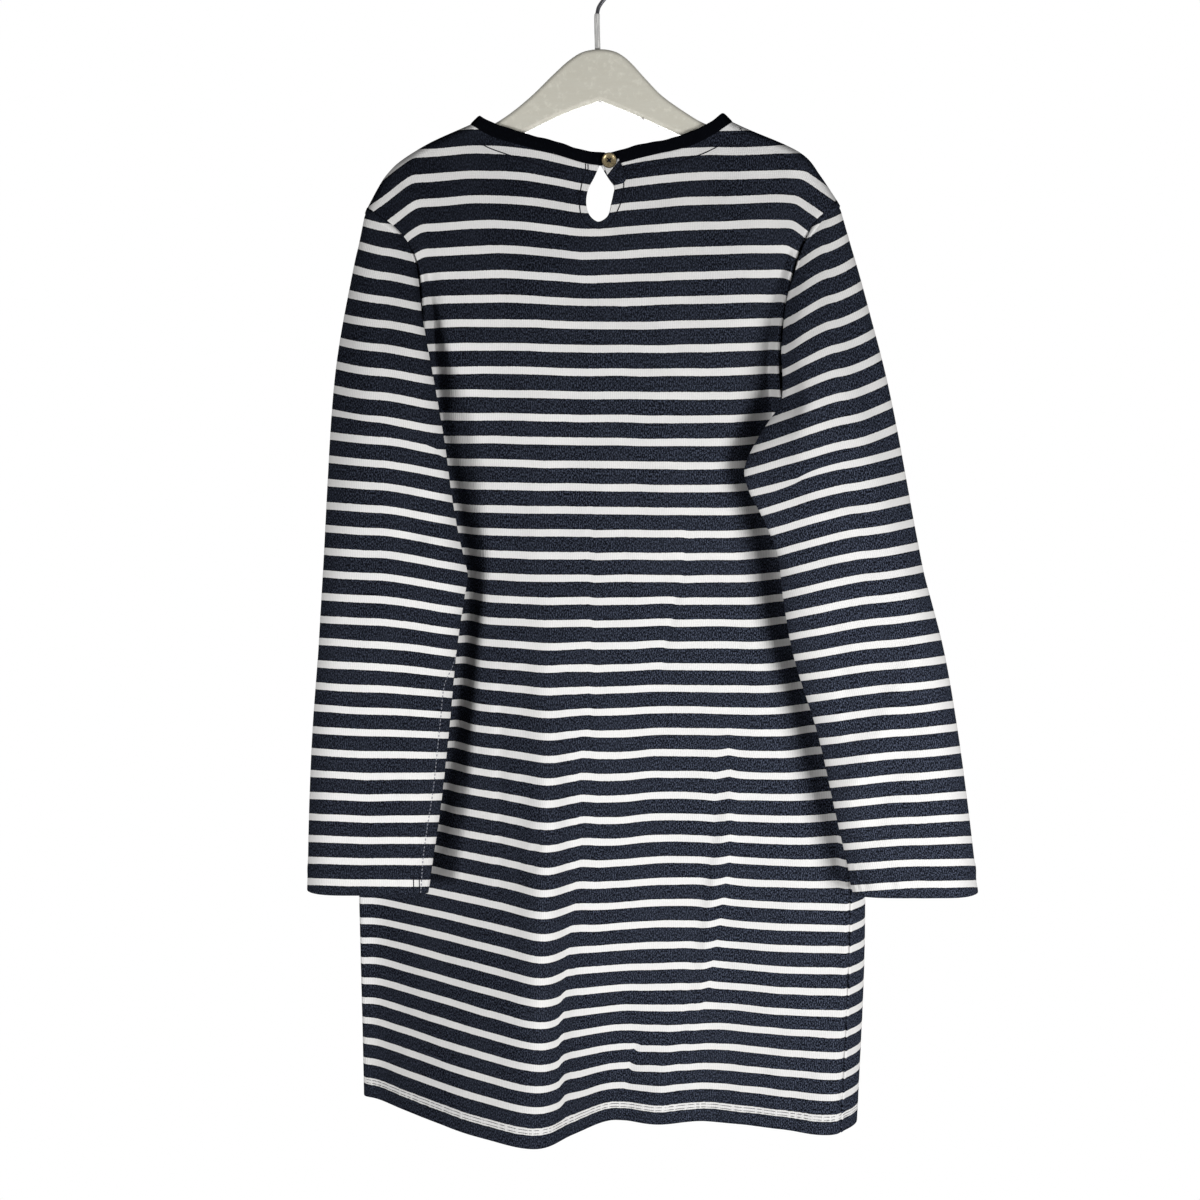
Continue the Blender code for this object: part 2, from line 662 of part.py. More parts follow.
def make_hanger_board(material, collection, cutters):
    runs = (HANGER_TOP + HANGER_BOTTOM + (HANGER_NOTCH,),
            (HANGER_NOTCH,) + HANGER_BOTTOM_LEFT + (HANGER_TOP[0],))
    outline = flat_outline("hanger_outline", runs, HANGER_THICKNESS, HANGER_EDGE_RADIUS,
                           collection)
    board = curve_to_mesh_object(outline, "hanger_board", material, collection)
    bm = bmesh.new()
    bmesh.ops.create_cone(bm, cap_ends=True, segments=16, depth=2 * HOOK_STEM_DEPTH * MM,
                          radius1=(WIRE / 2 + GAP) * MM, radius2=(WIRE / 2 + GAP) * MM)
    mesh = bpy.data.meshes.new("stem_bore")
    bm.to_mesh(mesh)
    bm.free()
    bore = add_object("stem_bore", mesh, material, cutters)
    bore.location = (HOOK_STEM_X * MM, 0, (HANGER_TOP[10][1] - GAP) * MM)
    hide_cutter(bore)
    add_cut(board, bore)
    return board


def make_hook(material, collection):
    """Wire hook: stem, a lean to the right, then round the crook to the left."""
    centre_z = -HOOK_RADIUS
    ring = HOOK_RADIUS + WIRE / 2
    crown = HANGER_TOP[10][1]
    route = [(HOOK_STEM_X, crown - HOOK_STEM_DEPTH + 2), (HOOK_STEM_X, crown),
             (HOOK_STEM_X - .4, crown + 14), (HOOK_STEM_X - .2, HOOK_STEM_TOP),
             (.8, HOOK_STEM_TOP + 7)]
    for degrees in range(-55, 216, 15):
        angle = math.radians(degrees)
        route.append((ring * math.cos(angle), centre_z + ring * math.sin(angle)))
    line = Line(route)
    count = 64
    data = bpy.data.curves.new("hanger_hook", 'CURVE')
    data.dimensions = '3D'
    data.bevel_depth = WIRE / 2 * MM
    data.bevel_resolution = 2
    data.use_fill_caps = True
    spline = data.splines.new('POLY')
    spline.points.add(count)
    for k, point in enumerate(spline.points):
        place = line.share(k / count)
        point.co = (place.x * MM, 0, place.y * MM, 1)
    return add_object("hanger_hook", data, material, collection)


def main():
    for obj in list(bpy.data.objects):
        bpy.data.objects.remove(obj)
    dress = bpy.data.collections.new("sweatshirt_dress")
    cutters = bpy.data.collections.new("cutters")
    bpy.context.scene.collection.children.link(dress)
    bpy.context.scene.collection.children.link(cutters)

    knit = new_material("striped_knit", (0.09, 0.11, 0.16), 0.9)
    binding = new_material("binding_knit", (0.012, 0.014, 0.022), 0.9)
    brass = new_material("aged_brass", (0.36, 0.29, 0.17), 0.35, 1.0)
    paint = new_material("painted_wood", (0.62, 0.60, 0.54), 0.5)
    steel = new_material("hook_steel", (0.55, 0.55, 0.54), 0.3, 1.0)

    back, front = make_panels(knit, dress, cutters)
    left = SleeveHead((back, front), BACK_ARMHOLE_LEFT, FRONT_ARMHOLE_LEFT, 1, 3, LEFT_SLEEVE_RINGS)
    right = SleeveHead((back, front), BACK_ARMHOLE_RIGHT, FRONT_ARMHOLE_RIGHT, -1, 4, RIGHT_SLEEVE_RINGS)
    make_sleeve("sleeve_left", left, knit, dress)
    make_sleeve("sleeve_right", right, knit, dress)
    make_binding(back, front, binding, dress)
    make_button(brass, dress, cutters)
    make_hanger_board(paint, dress, cutters)
    make_hook(steel, dress)


main()
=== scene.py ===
# %% [markdown]
# # A striped sweatshirt dress on its wooden hanger
# The real dress is a cotton sweatshirt knit, cut as a back, a front and two
# sleeves, with a narrow binding round the neck and a keyhole closed by one
# button. It hangs on a small painted hanger with its back to the camera.
# The imported solids give every size and place. Here each of them gets its looks:
# cloth as a thin wall with folds, and a finish made of shader nodes.

# %% Load the solids as a fixed frame
import math

import bmesh
import bpy
import numpy as np
from mathutils import Matrix, Vector
from mathutils.bvhtree import BVHTree


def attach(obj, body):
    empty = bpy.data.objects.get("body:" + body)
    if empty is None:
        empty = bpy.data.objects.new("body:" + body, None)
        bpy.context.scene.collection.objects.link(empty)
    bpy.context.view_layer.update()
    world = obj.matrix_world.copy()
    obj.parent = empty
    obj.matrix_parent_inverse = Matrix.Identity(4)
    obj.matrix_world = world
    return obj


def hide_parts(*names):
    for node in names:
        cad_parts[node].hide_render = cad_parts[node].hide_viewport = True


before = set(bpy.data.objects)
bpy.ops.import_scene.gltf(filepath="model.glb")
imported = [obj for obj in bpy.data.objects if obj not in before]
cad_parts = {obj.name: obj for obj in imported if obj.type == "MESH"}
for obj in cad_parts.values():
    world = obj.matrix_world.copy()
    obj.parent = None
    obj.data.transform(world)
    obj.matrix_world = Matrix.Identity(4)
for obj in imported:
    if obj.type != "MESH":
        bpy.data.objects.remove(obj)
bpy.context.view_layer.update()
MM = 0.001
print("solids:", ", ".join(sorted(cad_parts)))

# %% [markdown]
# ## The camera, first
# The camera stands level with the chest and looks down by about nine degrees. Its
# place comes first, because folds and stripes are judged through it. The lens is a
# short portrait lens, with no depth of field.

# %% Camera
EYE = (0.0, -1.383, -0.285)
LOOK_DOWN = 8.9
camera_data = bpy.data.cameras.new("camera")
camera_data.lens = 52.5
camera_data.sensor_width = 36.0
camera = bpy.data.objects.new("camera", camera_data)
camera.location = EYE
camera.rotation_euler = (math.radians(90 - LOOK_DOWN), 0.0, 0.0)
bpy.context.scene.collection.objects.link(camera)
bpy.context.scene.camera = camera
print("camera at", tuple(round(v, 3) for v in camera.location))

# %% [markdown]
# ## Smooth lines
# Pattern makers draw with a flexible ruler held at a few points. A curve through
# points does the same. Each line also knows the distance along it, so that a
# place can be read by its share of the way, as cloth is measured with a tape.


# %% A flexible ruler
def curve_points(points, closed=False, steps=12):
    """Points of a smooth curve through the given ones."""
    p = np.asarray(points, float)
    if closed:
        p = np.vstack([p[-1:], p, p[:2]])
    else:
        p = np.vstack([2 * p[:1] - p[1:2], p, 2 * p[-1:] - p[-2:-1]])
    a, b, c, d = (q[:, None, :] for q in (p[:-3], p[1:-2], p[2:-1], p[3:]))
    t = (np.arange(steps) / steps)[None, :, None]
    curve = (b + (c - a) * t / 2 + (2 * a - 5 * b + 4 * c - d) * t ** 2 / 2
             + (3 * b - a - 3 * c + d) * t ** 3 / 2)
    return np.vstack([curve.reshape(-1, p.shape[1]), p[-2:-1]])


def tape(points):
    """Distance along a line at each of its points."""
    step = np.linalg.norm(np.diff(points, axis=0), axis=1)
    return np.concatenate([[0.0], np.cumsum(step)])


class Ruler:
    """A smooth line read by distance, or by share of its length."""

    def __init__(self, points, closed=False, steps=12):
        self.points = curve_points(points, closed, steps)
        self.reach = tape(self.points)
        self.knots = self.reach[::steps]
        self.length = self.reach[-1]

    def at(self, distance):
        return np.stack([np.interp(distance, self.reach, self.points[:, k])
                         for k in range(self.points.shape[1])], axis=-1)

    def share(self, share):
        return self.at(np.asarray(share) * self.length)


def between(stops, values, at):
    """Values at places along smooth curves through values set at stops."""
    stops, values = np.asarray(stops, float), np.asarray(values, float)
    last = len(stops) - 1
    k = np.arange(last + 1)
    low, high = np.maximum(k - 1, 0), np.minimum(k + 1, last)
    wide = (1,) * (values.ndim - 1)
    slope = (values[high] - values[low]) / (stops[high] - stops[low]).reshape((-1,) + wide)
    at = np.clip(np.asarray(at, float), stops[0], stops[-1])
    i = np.clip(np.searchsorted(stops, at, side="right") - 1, 0, last - 1)
    step = (stops[i + 1] - stops[i]).reshape(at.shape + wide)
    t = ((at - stops[i]) / (stops[i + 1] - stops[i])).reshape(at.shape + wide)
    rise = values[i + 1] - values[i]
    a, b = slope[i] * step, slope[i + 1] * step
    return values[i] + a * t + (3 * rise - 2 * a - b) * t ** 2 + (a + b - 2 * rise) * t ** 3


def soft_step(low, high, value):
    """0 below low, 1 above high, and smooth in between."""
    t = np.clip((value - low) / (high - low), 0, 1)
    return t * t * (3 - 2 * t)


def unit(vectors):
    return vectors / np.maximum(np.linalg.norm(vectors, axis=-1, keepdims=True), 1e-9)


print("a test line of 3 points is", round(Ruler([(0, 0), (10, 0), (20, 5)]).length, 2), "mm")

# %% [markdown]
# ## The body of the dress
# A hung dress is a tube that closes on itself in soft vertical folds. The folds
# grow towards the hem, where nothing holds them. They are charted as fold lines
# going round the body, each with its place at five heights, in millimetres, and
# one smooth ring is drawn through them at every height. This is the same chart
# as the solids', read more closely. Left and right are as seen from the back.

# %% Fold lines round the body
ARMPIT_Z, HEM_Z = -424.0, -947.0
BODY_LEVELS = (ARMPIT_Z, -540.0, -680.0, -800.0, HEM_Z)
BACK_FOLDS = (
    ("left seam", (-188, 28), (-196, 44), (-200, 61), (-201, 69), (-201, 68)),
    ("left turn", (-183, 23), (-196, 37), (-204, 52), (-205, 59), (-204.5, 57)),
    ("left flank", (-154, 21), (-168, 31), (-180, 43), (-185, 55), (-188, 46)),
    ("left slope", (-115, 16), (-124, 22), (-132, 27), (-133, 20), (-134, 1)),
    ("slope foot", (-85, 10), (-88, 7), (-89, 4), (-92, -9), (-92, -28)),
    ("crest", (-52, 5), (-48, -10), (-46, -26), (-49, -37), (-51, -44)),
    ("crest step", (-28, 4), (-26, -8), (-22, -13), (-22, -17), (-24, -19)),
    ("valley", (0, 1), (-4, -6), (-2, -9), (0, -10), (3, 6)),
    ("valley side", (22, -2), (22, -5), (20, -6), (21, -5), (21, 9)),
    ("flat left", (55, -6), (50, 0), (50, 3), (52, -2), (48, 0)),
    ("flat right", (100, -7), (100, -3), (98, 0), (99, 0), (88, 7)),
    ("right swell", (145, -3), (146, -5), (148, -4), (150, -10), (150, -8)),
    ("right flank", (184, 14), (188, 3), (190, -8), (190, -12.5), (183, -19)),
    ("right seam", (194, 22), (203, 12), (204, -6), (204, -12), (200, -14)))
FRONT_FOLDS = (
    ("right edge", (193, 29), (209, 22), (216, 8), (219, 8), (216, 7)),
    ("right round", (178, 34), (200, 36), (209, 31), (212, 32), (209, 33)),
    ("right front", (146, 38), (152, 50), (157, 57), (160, 61), (162, 65)),
    ("front fold 1", (92, 43), (92, 57), (95, 70), (95, 80), (95, 88)),
    ("front dip 1", (32, 39), (32, 53), (32, 65), (33, 73), (34, 77)),
    ("front fold 2", (-28, 43), (-30, 59), (-30, 74), (-30, 86), (-28, 94)),
    ("front dip 2", (-88, 38), (-90, 54), (-92, 66), (-93, 72), (-92, 75)),
    ("front fold 3", (-140, 42), (-148, 60), (-150, 75), (-150, 86), (-150, 93)),
    ("left round", (-184, 35), (-190, 54), (-194, 71), (-194, 81), (-193, 81)))
FOLD_CHART = np.array([fold[1:] for fold in BACK_FOLDS + FRONT_FOLDS], float).transpose(1, 0, 2)
SIDE_SEAM = 0.5


def body_points(side, shares, z):
    """Points of the back or front at one height, by share of the way to the right."""
    chart = between([-level for level in BODY_LEVELS], FOLD_CHART, np.array(-z))
    ring = Ruler(chart, closed=True)
    seam = ring.knots[len(BACK_FOLDS) - 1]
    inset = SIDE_SEAM / 2
    if side == "back":
        flat = ring.at(inset + shares * (seam - 2 * inset))
    else:
        flat = ring.at(ring.length - inset - shares * (ring.length - seam - 2 * inset))
    return np.column_stack([flat, np.full(len(shares), z)])


hem_ring = Ruler(between([-v for v in BODY_LEVELS], FOLD_CHART, np.array(-HEM_Z)), closed=True)
print("round the hem:", round(hem_ring.length), "mm")

# %% [markdown]
# ## The yoke
# Above the underarm the cloth lies over the hanger's arms and hangs flat. Its top
# edge follows the shoulder seams and the neck, and its sides are drawn in to the
# armholes. The cloth turns over the hanger within a few millimetres, so the grid
# is finest there.

# %% Edges of the yoke
HANG_DEPTH, SHOULDER_ROLL, SHOULDER_SEAM = 8.2, 7.0, 0.5
NECK_START, NECK_TURN = .25, .012
SIDE_TURN, ARMHOLE_REACH = .05, .24
SHOULDER_LEFT = ((-180, -197), (-171, -181), (-163.5, -170), (-152, -159.5), (-129, -146),
                 (-99, -133))
SHOULDER_RIGHT = ((101, -131), (117, -138), (143, -148.5), (159, -158), (169.5, -171.5),
                  (184, -192))
BACK_NECK = ((-99, -133), (-82, -142), (-60, -148.5), (-36, -155), (0, -163.5), (36, -156.5),
             (64, -150.5), (84, -142), (101, -131))
FRONT_NECK = ((-99, -133), (-94, -157), (-84, -180), (-66, -205), (-40, -223), (0, -232),
              (40, -223), (67, -205), (85, -180), (96, -156), (101, -131))
ARMHOLES = {
    ("back", "left"): (
        (-180, -.5, -197), (-177, -6, -199.5), (-166, -8, -206), (-151, -8, -218),
        (-141, -7, -236), (-138, -3, -270), (-138, 2, -310), (-143, 8, -350),
        (-158, 15, -390), (-176, 22, -415), (-188, 28, -424)),
    ("front", "left"): (
        (-180, .5, -197), (-178.5, 6, -200), (-172, 9, -210), (-164, 12, -225),
        (-155, 18, -255), (-151, 24, -295), (-152, 29, -335), (-160, 33, -375),
        (-174, 33, -408), (-188, 28, -424)),
    ("back", "right"): (
        (184, -.5, -192), (181, -6, -194.5), (170, -8, -202), (158, -8, -219),
        (149, -8, -244), (142, -7, -280), (140, -3, -318), (146, 3, -355),
        (161, 10, -392), (180, 17, -415), (194, 22, -424)),
    ("front", "right"): (
        (184, .5, -192), (182.5, 6, -195), (176, 9, -206), (168, 12, -222),
        (158, 17, -253), (153, 22, -293), (154, 26, -335), (163, 29, -375),
        (179, 28, -408), (194, 22, -424))}


class PanelShape:
    """The back or the front as a smooth surface of share across and share down."""

    def __init__(self, side):
        self.side = side
        self.sign = -1 if side == "back" else 1
        self.shoulders = Ruler(SHOULDER_LEFT), Ruler(SHOULDER_RIGHT)
        self.neck = Ruler(BACK_NECK if side == "back" else FRONT_NECK)
        self.left = Ruler(ARMHOLES[side, "left"])
        self.right = Ruler(ARMHOLES[side, "right"])

    def top(self, u):
        a, b = self.shoulders
        out = self.neck.share((u - NECK_START) / (1 - 2 * NECK_START))
        left, right = u < NECK_START, u > 1 - NECK_START
        out[left] = a.share(u[left] / NECK_START)
        out[right] = b.share((u[right] - 1 + NECK_START) / NECK_START)
        return out

    def depth_on_hanger(self, u, drop):
        past = np.maximum(np.minimum(u, 1 - u) - NECK_START, 0)
        drop = drop + past / NECK_TURN * SHOULDER_ROLL
        over = 1 - np.clip(drop / SHOULDER_ROLL, 0, 1)
        half = SHOULDER_SEAM / 2
        return self.sign * (half + (HANG_DEPTH - half) * np.sqrt(1 - over * over))

    def yoke_base(self, u, share):
        top = self.top(u)
        low = body_points(self.side, u, ARMPIT_Z)
        ends = body_points(self.side, np.array([0, SIDE_TURN, 1 - SIDE_TURN, 1.0]), ARMPIT_Z)
        flat = low.copy()
        for near, inner, outer in ((u / SIDE_TURN, ends[1], ends[0]),
                                   ((1 - u) / SIDE_TURN, ends[2], ends[3])):
            turn = near < 1
            flat[turn] = inner
            flat[turn, 0] += (1 - near[turn]) * (outer[0] - inner[0])
        low = flat + (low - flat) * max((share - .84) / .16, 0) ** 2
        z = top[:, 1] + share * (ARMPIT_Z - top[:, 1])
        x = top[:, 0] + share * (low[:, 0] - top[:, 0])
        blend = soft_step(.2, 1, share)
        hung = self.depth_on_hanger(u, top[:, 1] - z)
        return np.column_stack([x, hung + (low[:, 1] - hung) * blend, z])

    def yoke(self, u, share):
        u = np.asarray(u, float)
        points = self.yoke_base(u, share)
        if share < 1:
            ends = self.yoke_base(np.array([0.0, 1.0]), share)
            for edge, away, end in ((self.left, u, ends[0]), (self.right, 1 - u, ends[1])):
                shift = edge.share(share) - end
                broad = np.maximum(1 - 2 * away, 0)
                near = np.maximum(1 - (away / ARMHOLE_REACH) ** 2, 0) ** 2
                points += np.column_stack([shift[0] * broad, shift[1] * near,
                                           shift[2] * broad * broad])
        return points


back_shape, front_shape = PanelShape("back"), PanelShape("front")
print("back neck", round(back_shape.neck.length), "mm, front neck",
      round(front_shape.neck.length), "mm")

# %% [markdown]
# ## Grids of cloth
# A sheet of cloth starts as a flat grid, as it comes from the loom. Its vertices
# are then moved to their places. Columns and rows are spaced as listed, closer
# together where the cloth turns sharply.


# %% Spacing of the grid
def spaced(*runs):
    """Shares from 0 to 1 in runs of (end, number of steps)."""
    out, start = [0.0], 0.0
    for end, steps in runs:
        out += [start + (end - start) * (k + 1) / steps for k in range(steps)]
        start = end
    return np.array(out)


ACROSS = {"back": spaced((.03, 9), (.243, 36), (.265, 11), (.735, 66), (.757, 11), (.97, 36),
                         (1, 9)),
          "front": spaced((.03, 6), (.243, 24), (.265, 8), (.735, 44), (.757, 8), (.97, 24),
                          (1, 6))}
DOWN = {"back": (spaced((.035, 13), (.16, 13), (1, 84)), 148),
        "front": (spaced((.035, 9), (.16, 9), (1, 60)), 105)}


def panel_grid(shape):
    """All points of a panel, rows from the top edge down to the hem, in mm."""
    across = ACROSS[shape.side]
    shares, body_rows = DOWN[shape.side]
    rows = [shape.yoke(across, share) for share in shares]
    for k in range(1, body_rows + 1):
        rows.append(body_points(shape.side, across, ARMPIT_Z + (HEM_Z - ARMPIT_Z) * k / body_rows))
    return np.array(rows)


back_grid, front_grid = panel_grid(back_shape), panel_grid(front_shape)
print("back grid", back_grid.shape[:2], "front grid", front_grid.shape[:2])

# %% [markdown]
# ## Folds pressed into the cloth
# Between the big folds lie small ones: a crease left by folding, a drag line from
# a seam, a dip where the shoulder falls off the hanger. No two are alike. Each is
# charted as a line with a width and a height, and fades towards its ends.


# %% A small fold along a line
def fold_weight(x, z, path, width, lean=0.0):
    """1 on the line, fading across it (faster on its left if lean is above 0)."""
    line = curve_points(path, steps=5) if len(path) > 2 else np.array(path, float)
    weight = np.zeros(x.shape)
    low, high = line.min(0) - 3.5 * width, line.max(0) + 3.5 * width
    near = (x > low[0]) & (x < high[0]) & (z > low[1]) & (z < high[1])
    if not near.any():
        return weight
    p = np.column_stack([x[near], z[near]])
    a, d = line[:-1], np.diff(line, axis=0)
    length = np.linalg.norm(d, axis=1)
    start = np.concatenate([[0], np.cumsum(length)])
    t = np.clip(((p[:, None] - a) * d).sum(-1) / length ** 2, 0, 1)
    gap = p[:, None] - (a + t[..., None] * d)
    nearest = np.argmin((gap ** 2).sum(-1), axis=1)
    pick = np.arange(len(p)), nearest
    off = gap[pick]
    along = (start[nearest] + t[pick] * length[nearest]) / start[-1]
    side = np.sign(d[nearest, 0] * off[:, 1] - d[nearest, 1] * off[:, 0])
    reach = width * (1 + lean * side)
    weight[near] = (np.exp(-(np.linalg.norm(off, axis=1) / reach) ** 2)
                    * np.sqrt(np.clip(4 * along * (1 - along), 0, 1)))
    return weight


def press(grid, folds, sign, mask=1.0):
    """Moves the cloth out (heights above 0) or in along the folds."""
    for _, height, width, lean, path in folds:
        grid[..., 1] += sign * height * mask * fold_weight(grid[..., 0], grid[..., 2], path, width,
                                                           lean)


WAVES = (
    # height, wave length, turn of its way in degrees, and how much it wanders
    (.34, 47, 12, 1.3), (.28, 31, -24, 1.9), (.22, 23, 71, 1.1), (.26, 38, 98, 2.3),
    (.16, 17, 33, 1.7))


def press_waves(grid, sign):
    """Shallow uneven waves all over, as limp cloth has."""
    x, z = grid[..., 0], grid[..., 2]
    for number, (height, length, turn, wander) in enumerate(WAVES):
        turn = math.radians(turn)
        along = x * math.cos(turn) + z * math.sin(turn)
        across = z * math.cos(turn) - x * math.sin(turn)
        bend = wander * np.sin(across / (length * .9) + number * 2.1)
        swell = .5 + .5 * np.sin(across / (length * 2.3) + along / (length * 3.1) + number)
        grid[..., 1] += sign * height * swell * np.sin(2 * math.pi * along / length + bend)


BACK_CREASES = (
    # name, height, width, lean, line of (x, z)
    ("left shoulder fall", 1.3, 5, .3, ((-152, -166), (-147, -200), (-140, -245))),
    ("right shoulder dip", -2.4, 8, .2, ((152, -166), (157, -205), (150, -245))),
    ("right armhole crease", -1.4, 3.5, -.3, ((150, -214), (143, -245), (141, -292))),
    ("armhole drag left", 1.2, 9, 0, ((-136, -300), (-118, -350), (-112, -400))),
    ("armhole drag right", 1.4, 9, 0, ((137, -310), (120, -352), (112, -405))),
    ("keyhole drag left", .9, 4.5, 0, ((-31, -225), (-20, -240), (-8, -254))),
    ("keyhole pucker", .7, 3, 0, ((-12, -210), (-2, -212), (8, -214))),
    ("keyhole drag right", .6, 5, 0, ((12, -212), (22, -232), (26, -262))),
    ("mid swell left", 1.6, 13, 0, ((-8, -395), (-4, -480), (0, -590))),
    ("mid swell right", 1.6, 13, 0, ((55, -395), (64, -480), (72, -600))),
    ("left long crease", -1.7, 4.5, .3, ((-80, -545), (-81, -610), (-82, -690), (-82, -757))),
    ("short sharp crease", -1.6, 2.6, .2, ((-46, -676), (-51, -697), (-56, -720))),
    ("long ridge", 1.8, 5, -.3, ((-18, -570), (-16, -662), (-19.5, -746), (-26, -831),
                                 (-33, -925))),
    ("right diagonal", 3.2, 8, .3, ((108, -640), (102, -690), (92, -750), (83, -830), (70, -915))),
    ("hem crease", -2.3, 2.2, .2, ((32, -866), (27, -888), (22, -915))),
    ("low swell", 1.4, 8, 0, ((60, -800), (56, -870), (50, -940))),
    ("waist crease left", -1.0, 6, 0, ((-118, -560), (-112, -640), (-116, -720))),
    ("waist swell right", 1.2, 10, 0, ((118, -470), (124, -560), (128, -650))),
    ("yoke trough", -2.4, 12, 0, ((-62, -196), (-40, -220), (-14, -250), (8, -275))),
    ("fine vertical crease", -1.2, 2.4, .2, ((-8, -405), (-8, -500), (-8, -600), (-8.2, -750))),
    ("fine crease beside it", -1.0, 2.6, 0, ((12.6, -405), (19, -460), (24, -517))),
    ("fine diagonal crease", -1.6, 2.6, .25, ((68, -436), (66, -466), (64, -484), (59, -502),
                                              (57, -520), (52, -538), (50, -558))),
    ("foot of the crest", -3.2, 13, 0, ((-58, -500), (-60, -580), (-62, -662), (-68, -750),
                                        (-74, -831))))
UNDER_SLEEVES = (
    # the sleeves lie over the back's edges and press it in beside them
    ("hollow beside left sleeve", -10, 9, 0, ((-144, -225), (-140, -265), (-132, -320),
                                              (-124, -382), (-113, -440), (-106, -503),
                                              (-115, -590), (-129, -670), (-141, -740))),
    ("hollow below left armhole", -7, 7, 0, ((-134, -238), (-131, -268), (-129, -305),
                                             (-124, -350))),
    ("hollow beside right sleeve", -18, 21, 0, ((149, -225), (145, -265), (139, -320),
                                                (131, -382), (137, -440), (151, -501),
                                                (171, -580), (193, -665), (206, -740))))
FRONT_CREASES = (
    ("left armhole drag", 2.0, 9, .2, ((-148, -300), (-120, -352), (-96, -420), (-88, -500))),
    ("right armhole drag", 2.3, 10, -.1, ((150, -310), (124, -356), (104, -430), (100, -505))),
    ("neck drag left", 1.2, 6, 0, ((-60, -216), (-66, -250), (-78, -290))),
    ("neck drag right", 1.4, 6, 0, ((62, -214), (64, -252), (72, -300))),
    ("middle swell", 1.9, 16, 0, ((-4, -300), (2, -400), (-6, -520))),
    ("left long crease", -2.0, 6, .3, ((-62, -520), (-58, -640), (-62, -760), (-60, -900))),
    ("right long crease", -1.8, 6, -.2, ((60, -560), (66, -660), (62, -780), (64, -930))),
    ("left ridge", 1.7, 5, 0, ((-118, -610), (-122, -720), (-116, -850))),
    ("right ridge", 1.6, 6, 0, ((124, -540), (130, -660), (126, -800))),
    ("short crease 1", -1.3, 3, 0, ((-8, -690), (0, -716), (4, -742))),
    ("short crease 2", -1.2, 3.5, 0, ((28, -842), (34, -868), (36, -900))))
press(back_grid, BACK_CREASES, -1)
press_waves(back_grid, -1)
press_waves(front_grid, 1)
from_side = np.minimum(np.linalg.norm(back_grid - back_grid[:, :1], axis=-1),
                       np.linalg.norm(back_grid - back_grid[:, -1:], axis=-1))
press(back_grid, UNDER_SLEEVES, -1, soft_step(1, 11, from_side))
press(front_grid, FRONT_CREASES, 1)
print("folds pressed:", len(BACK_CREASES), "in the back and", len(FRONT_CREASES), "in the front")

# %% [markdown]
# ## Seams and hems
# A seam is a valley: both pieces turn in to meet each other, and the stitches
# pull the cloth down. A turned hem is two layers thick and is pinched where its
# stitches run. These are a millimetre or less, but they catch the light.

# %% Turned edges and pinched stitch rows
HEM_STITCHES = (-931.7, -934.3)


def hem_relief(height_above_edge, rows, thick=.35):
    """How far a turned hem stands out, pinched along its stitch rows."""
    out = thick * (1 - soft_step(max(rows) + .5, max(rows) + 2.5, height_above_edge))
    for row in rows:
        out = out - .55 * np.exp(-((height_above_edge - row) / 1.0) ** 2)
    return out


def finish_panel(grid, sign):
    z = grid[..., 2]
    up = z - HEM_Z
    grid[..., 1] += sign * hem_relief(up, [row - HEM_Z for row in HEM_STITCHES])
    ripple = .35 * np.sin(grid[..., 0] * .9 + np.sin(grid[..., 0] * .23) * 2)
    grid[..., 1] += sign * ripple * np.exp(-((up - 12) / 7) ** 2)
    for edge in (0, -1):
        away = np.linalg.norm(grid - grid[:, [edge]], axis=-1)
        turn = np.exp(-(away / 1.9) ** 2) * 1.3
        grid[..., 1] -= sign * turn * soft_step(-199, -206, z)


finish_panel(back_grid, -1)
finish_panel(front_grid, 1)
print("hem stitches", HEM_STITCHES[0] - HEM_Z, "and", round(HEM_STITCHES[1] - HEM_Z, 1),
      "mm above the edge")

# %% [markdown]
# ## Where the stripes run
# The stripes are knitted in, so they follow the cloth. On the body they are level
# from the chest down. Near the shoulders the cloth hangs from the hanger's arms,
# which lifts the stripes on both sides of the neck. Past the hanger's tips it
# falls away, and the stripes bend down. The chart gives that rise in millimetres.
# A point's height less its rise is its height on the cloth as it was cut.

# %% Chart of the stripes' rise on the body
PITCH = 17.965           # one white and one navy stripe
FIRST_WHITE = -285 + 106.77
RISE_HEIGHTS = (-160, -196, -232, -286, -340, -440)
RISE = (
    # x, rise at each of the heights
    (-139, 5.5, 4.2, 3.0, 2.0, 1.6, 0), (-120, 6.7, 5.4, 3.8, 2.9, 2.3, 0),
    (-100, 8.2, 7.1, 4.9, 3.3, 2.4, 0), (-77, 8.0, 7.1, 5.7, 3.3, 2.4, 0),
    (-54, 5.8, 5.6, 4.2, 2.9, 2.0, 0), (-35, 2.2, 3.0, 2.7, 2.1, 1.6, 0),
    (-15, -2.6, 0.0, .4, 1.7, 1.3, 0), (0, -5.0, -.6, .8, 1.4, 1.3, 0),
    (19, -.4, 1.8, 1.5, 1.4, 1.3, 0), (38, 3.2, 3.3, 2.7, 1.4, .9, 0),
    (62, 6.2, 5.6, 3.8, 2.1, .9, 0), (85, 7.2, 6.3, 4.6, 2.5, .9, 0),
    (108, 7.2, 7.1, 5.3, 3.3, 1.3, 0), (135, 8.4, 7.8, 5.7, 4.0, 2.6, 0),
    (150, 8.6, 7.4, 6.0, 4.2, 3.0, 0))
FALL_LINES = (
    # side, fall per mm past the line, the line as (height, x)
    (-1, .72, ((-160, -143), (-178, -144), (-196, -141), (-214, -138), (-236, -137))),
    (1, .70, ((-160, 163), (-178, 156), (-196, 151), (-214, 148), (-232, 145), (-260, 143))))


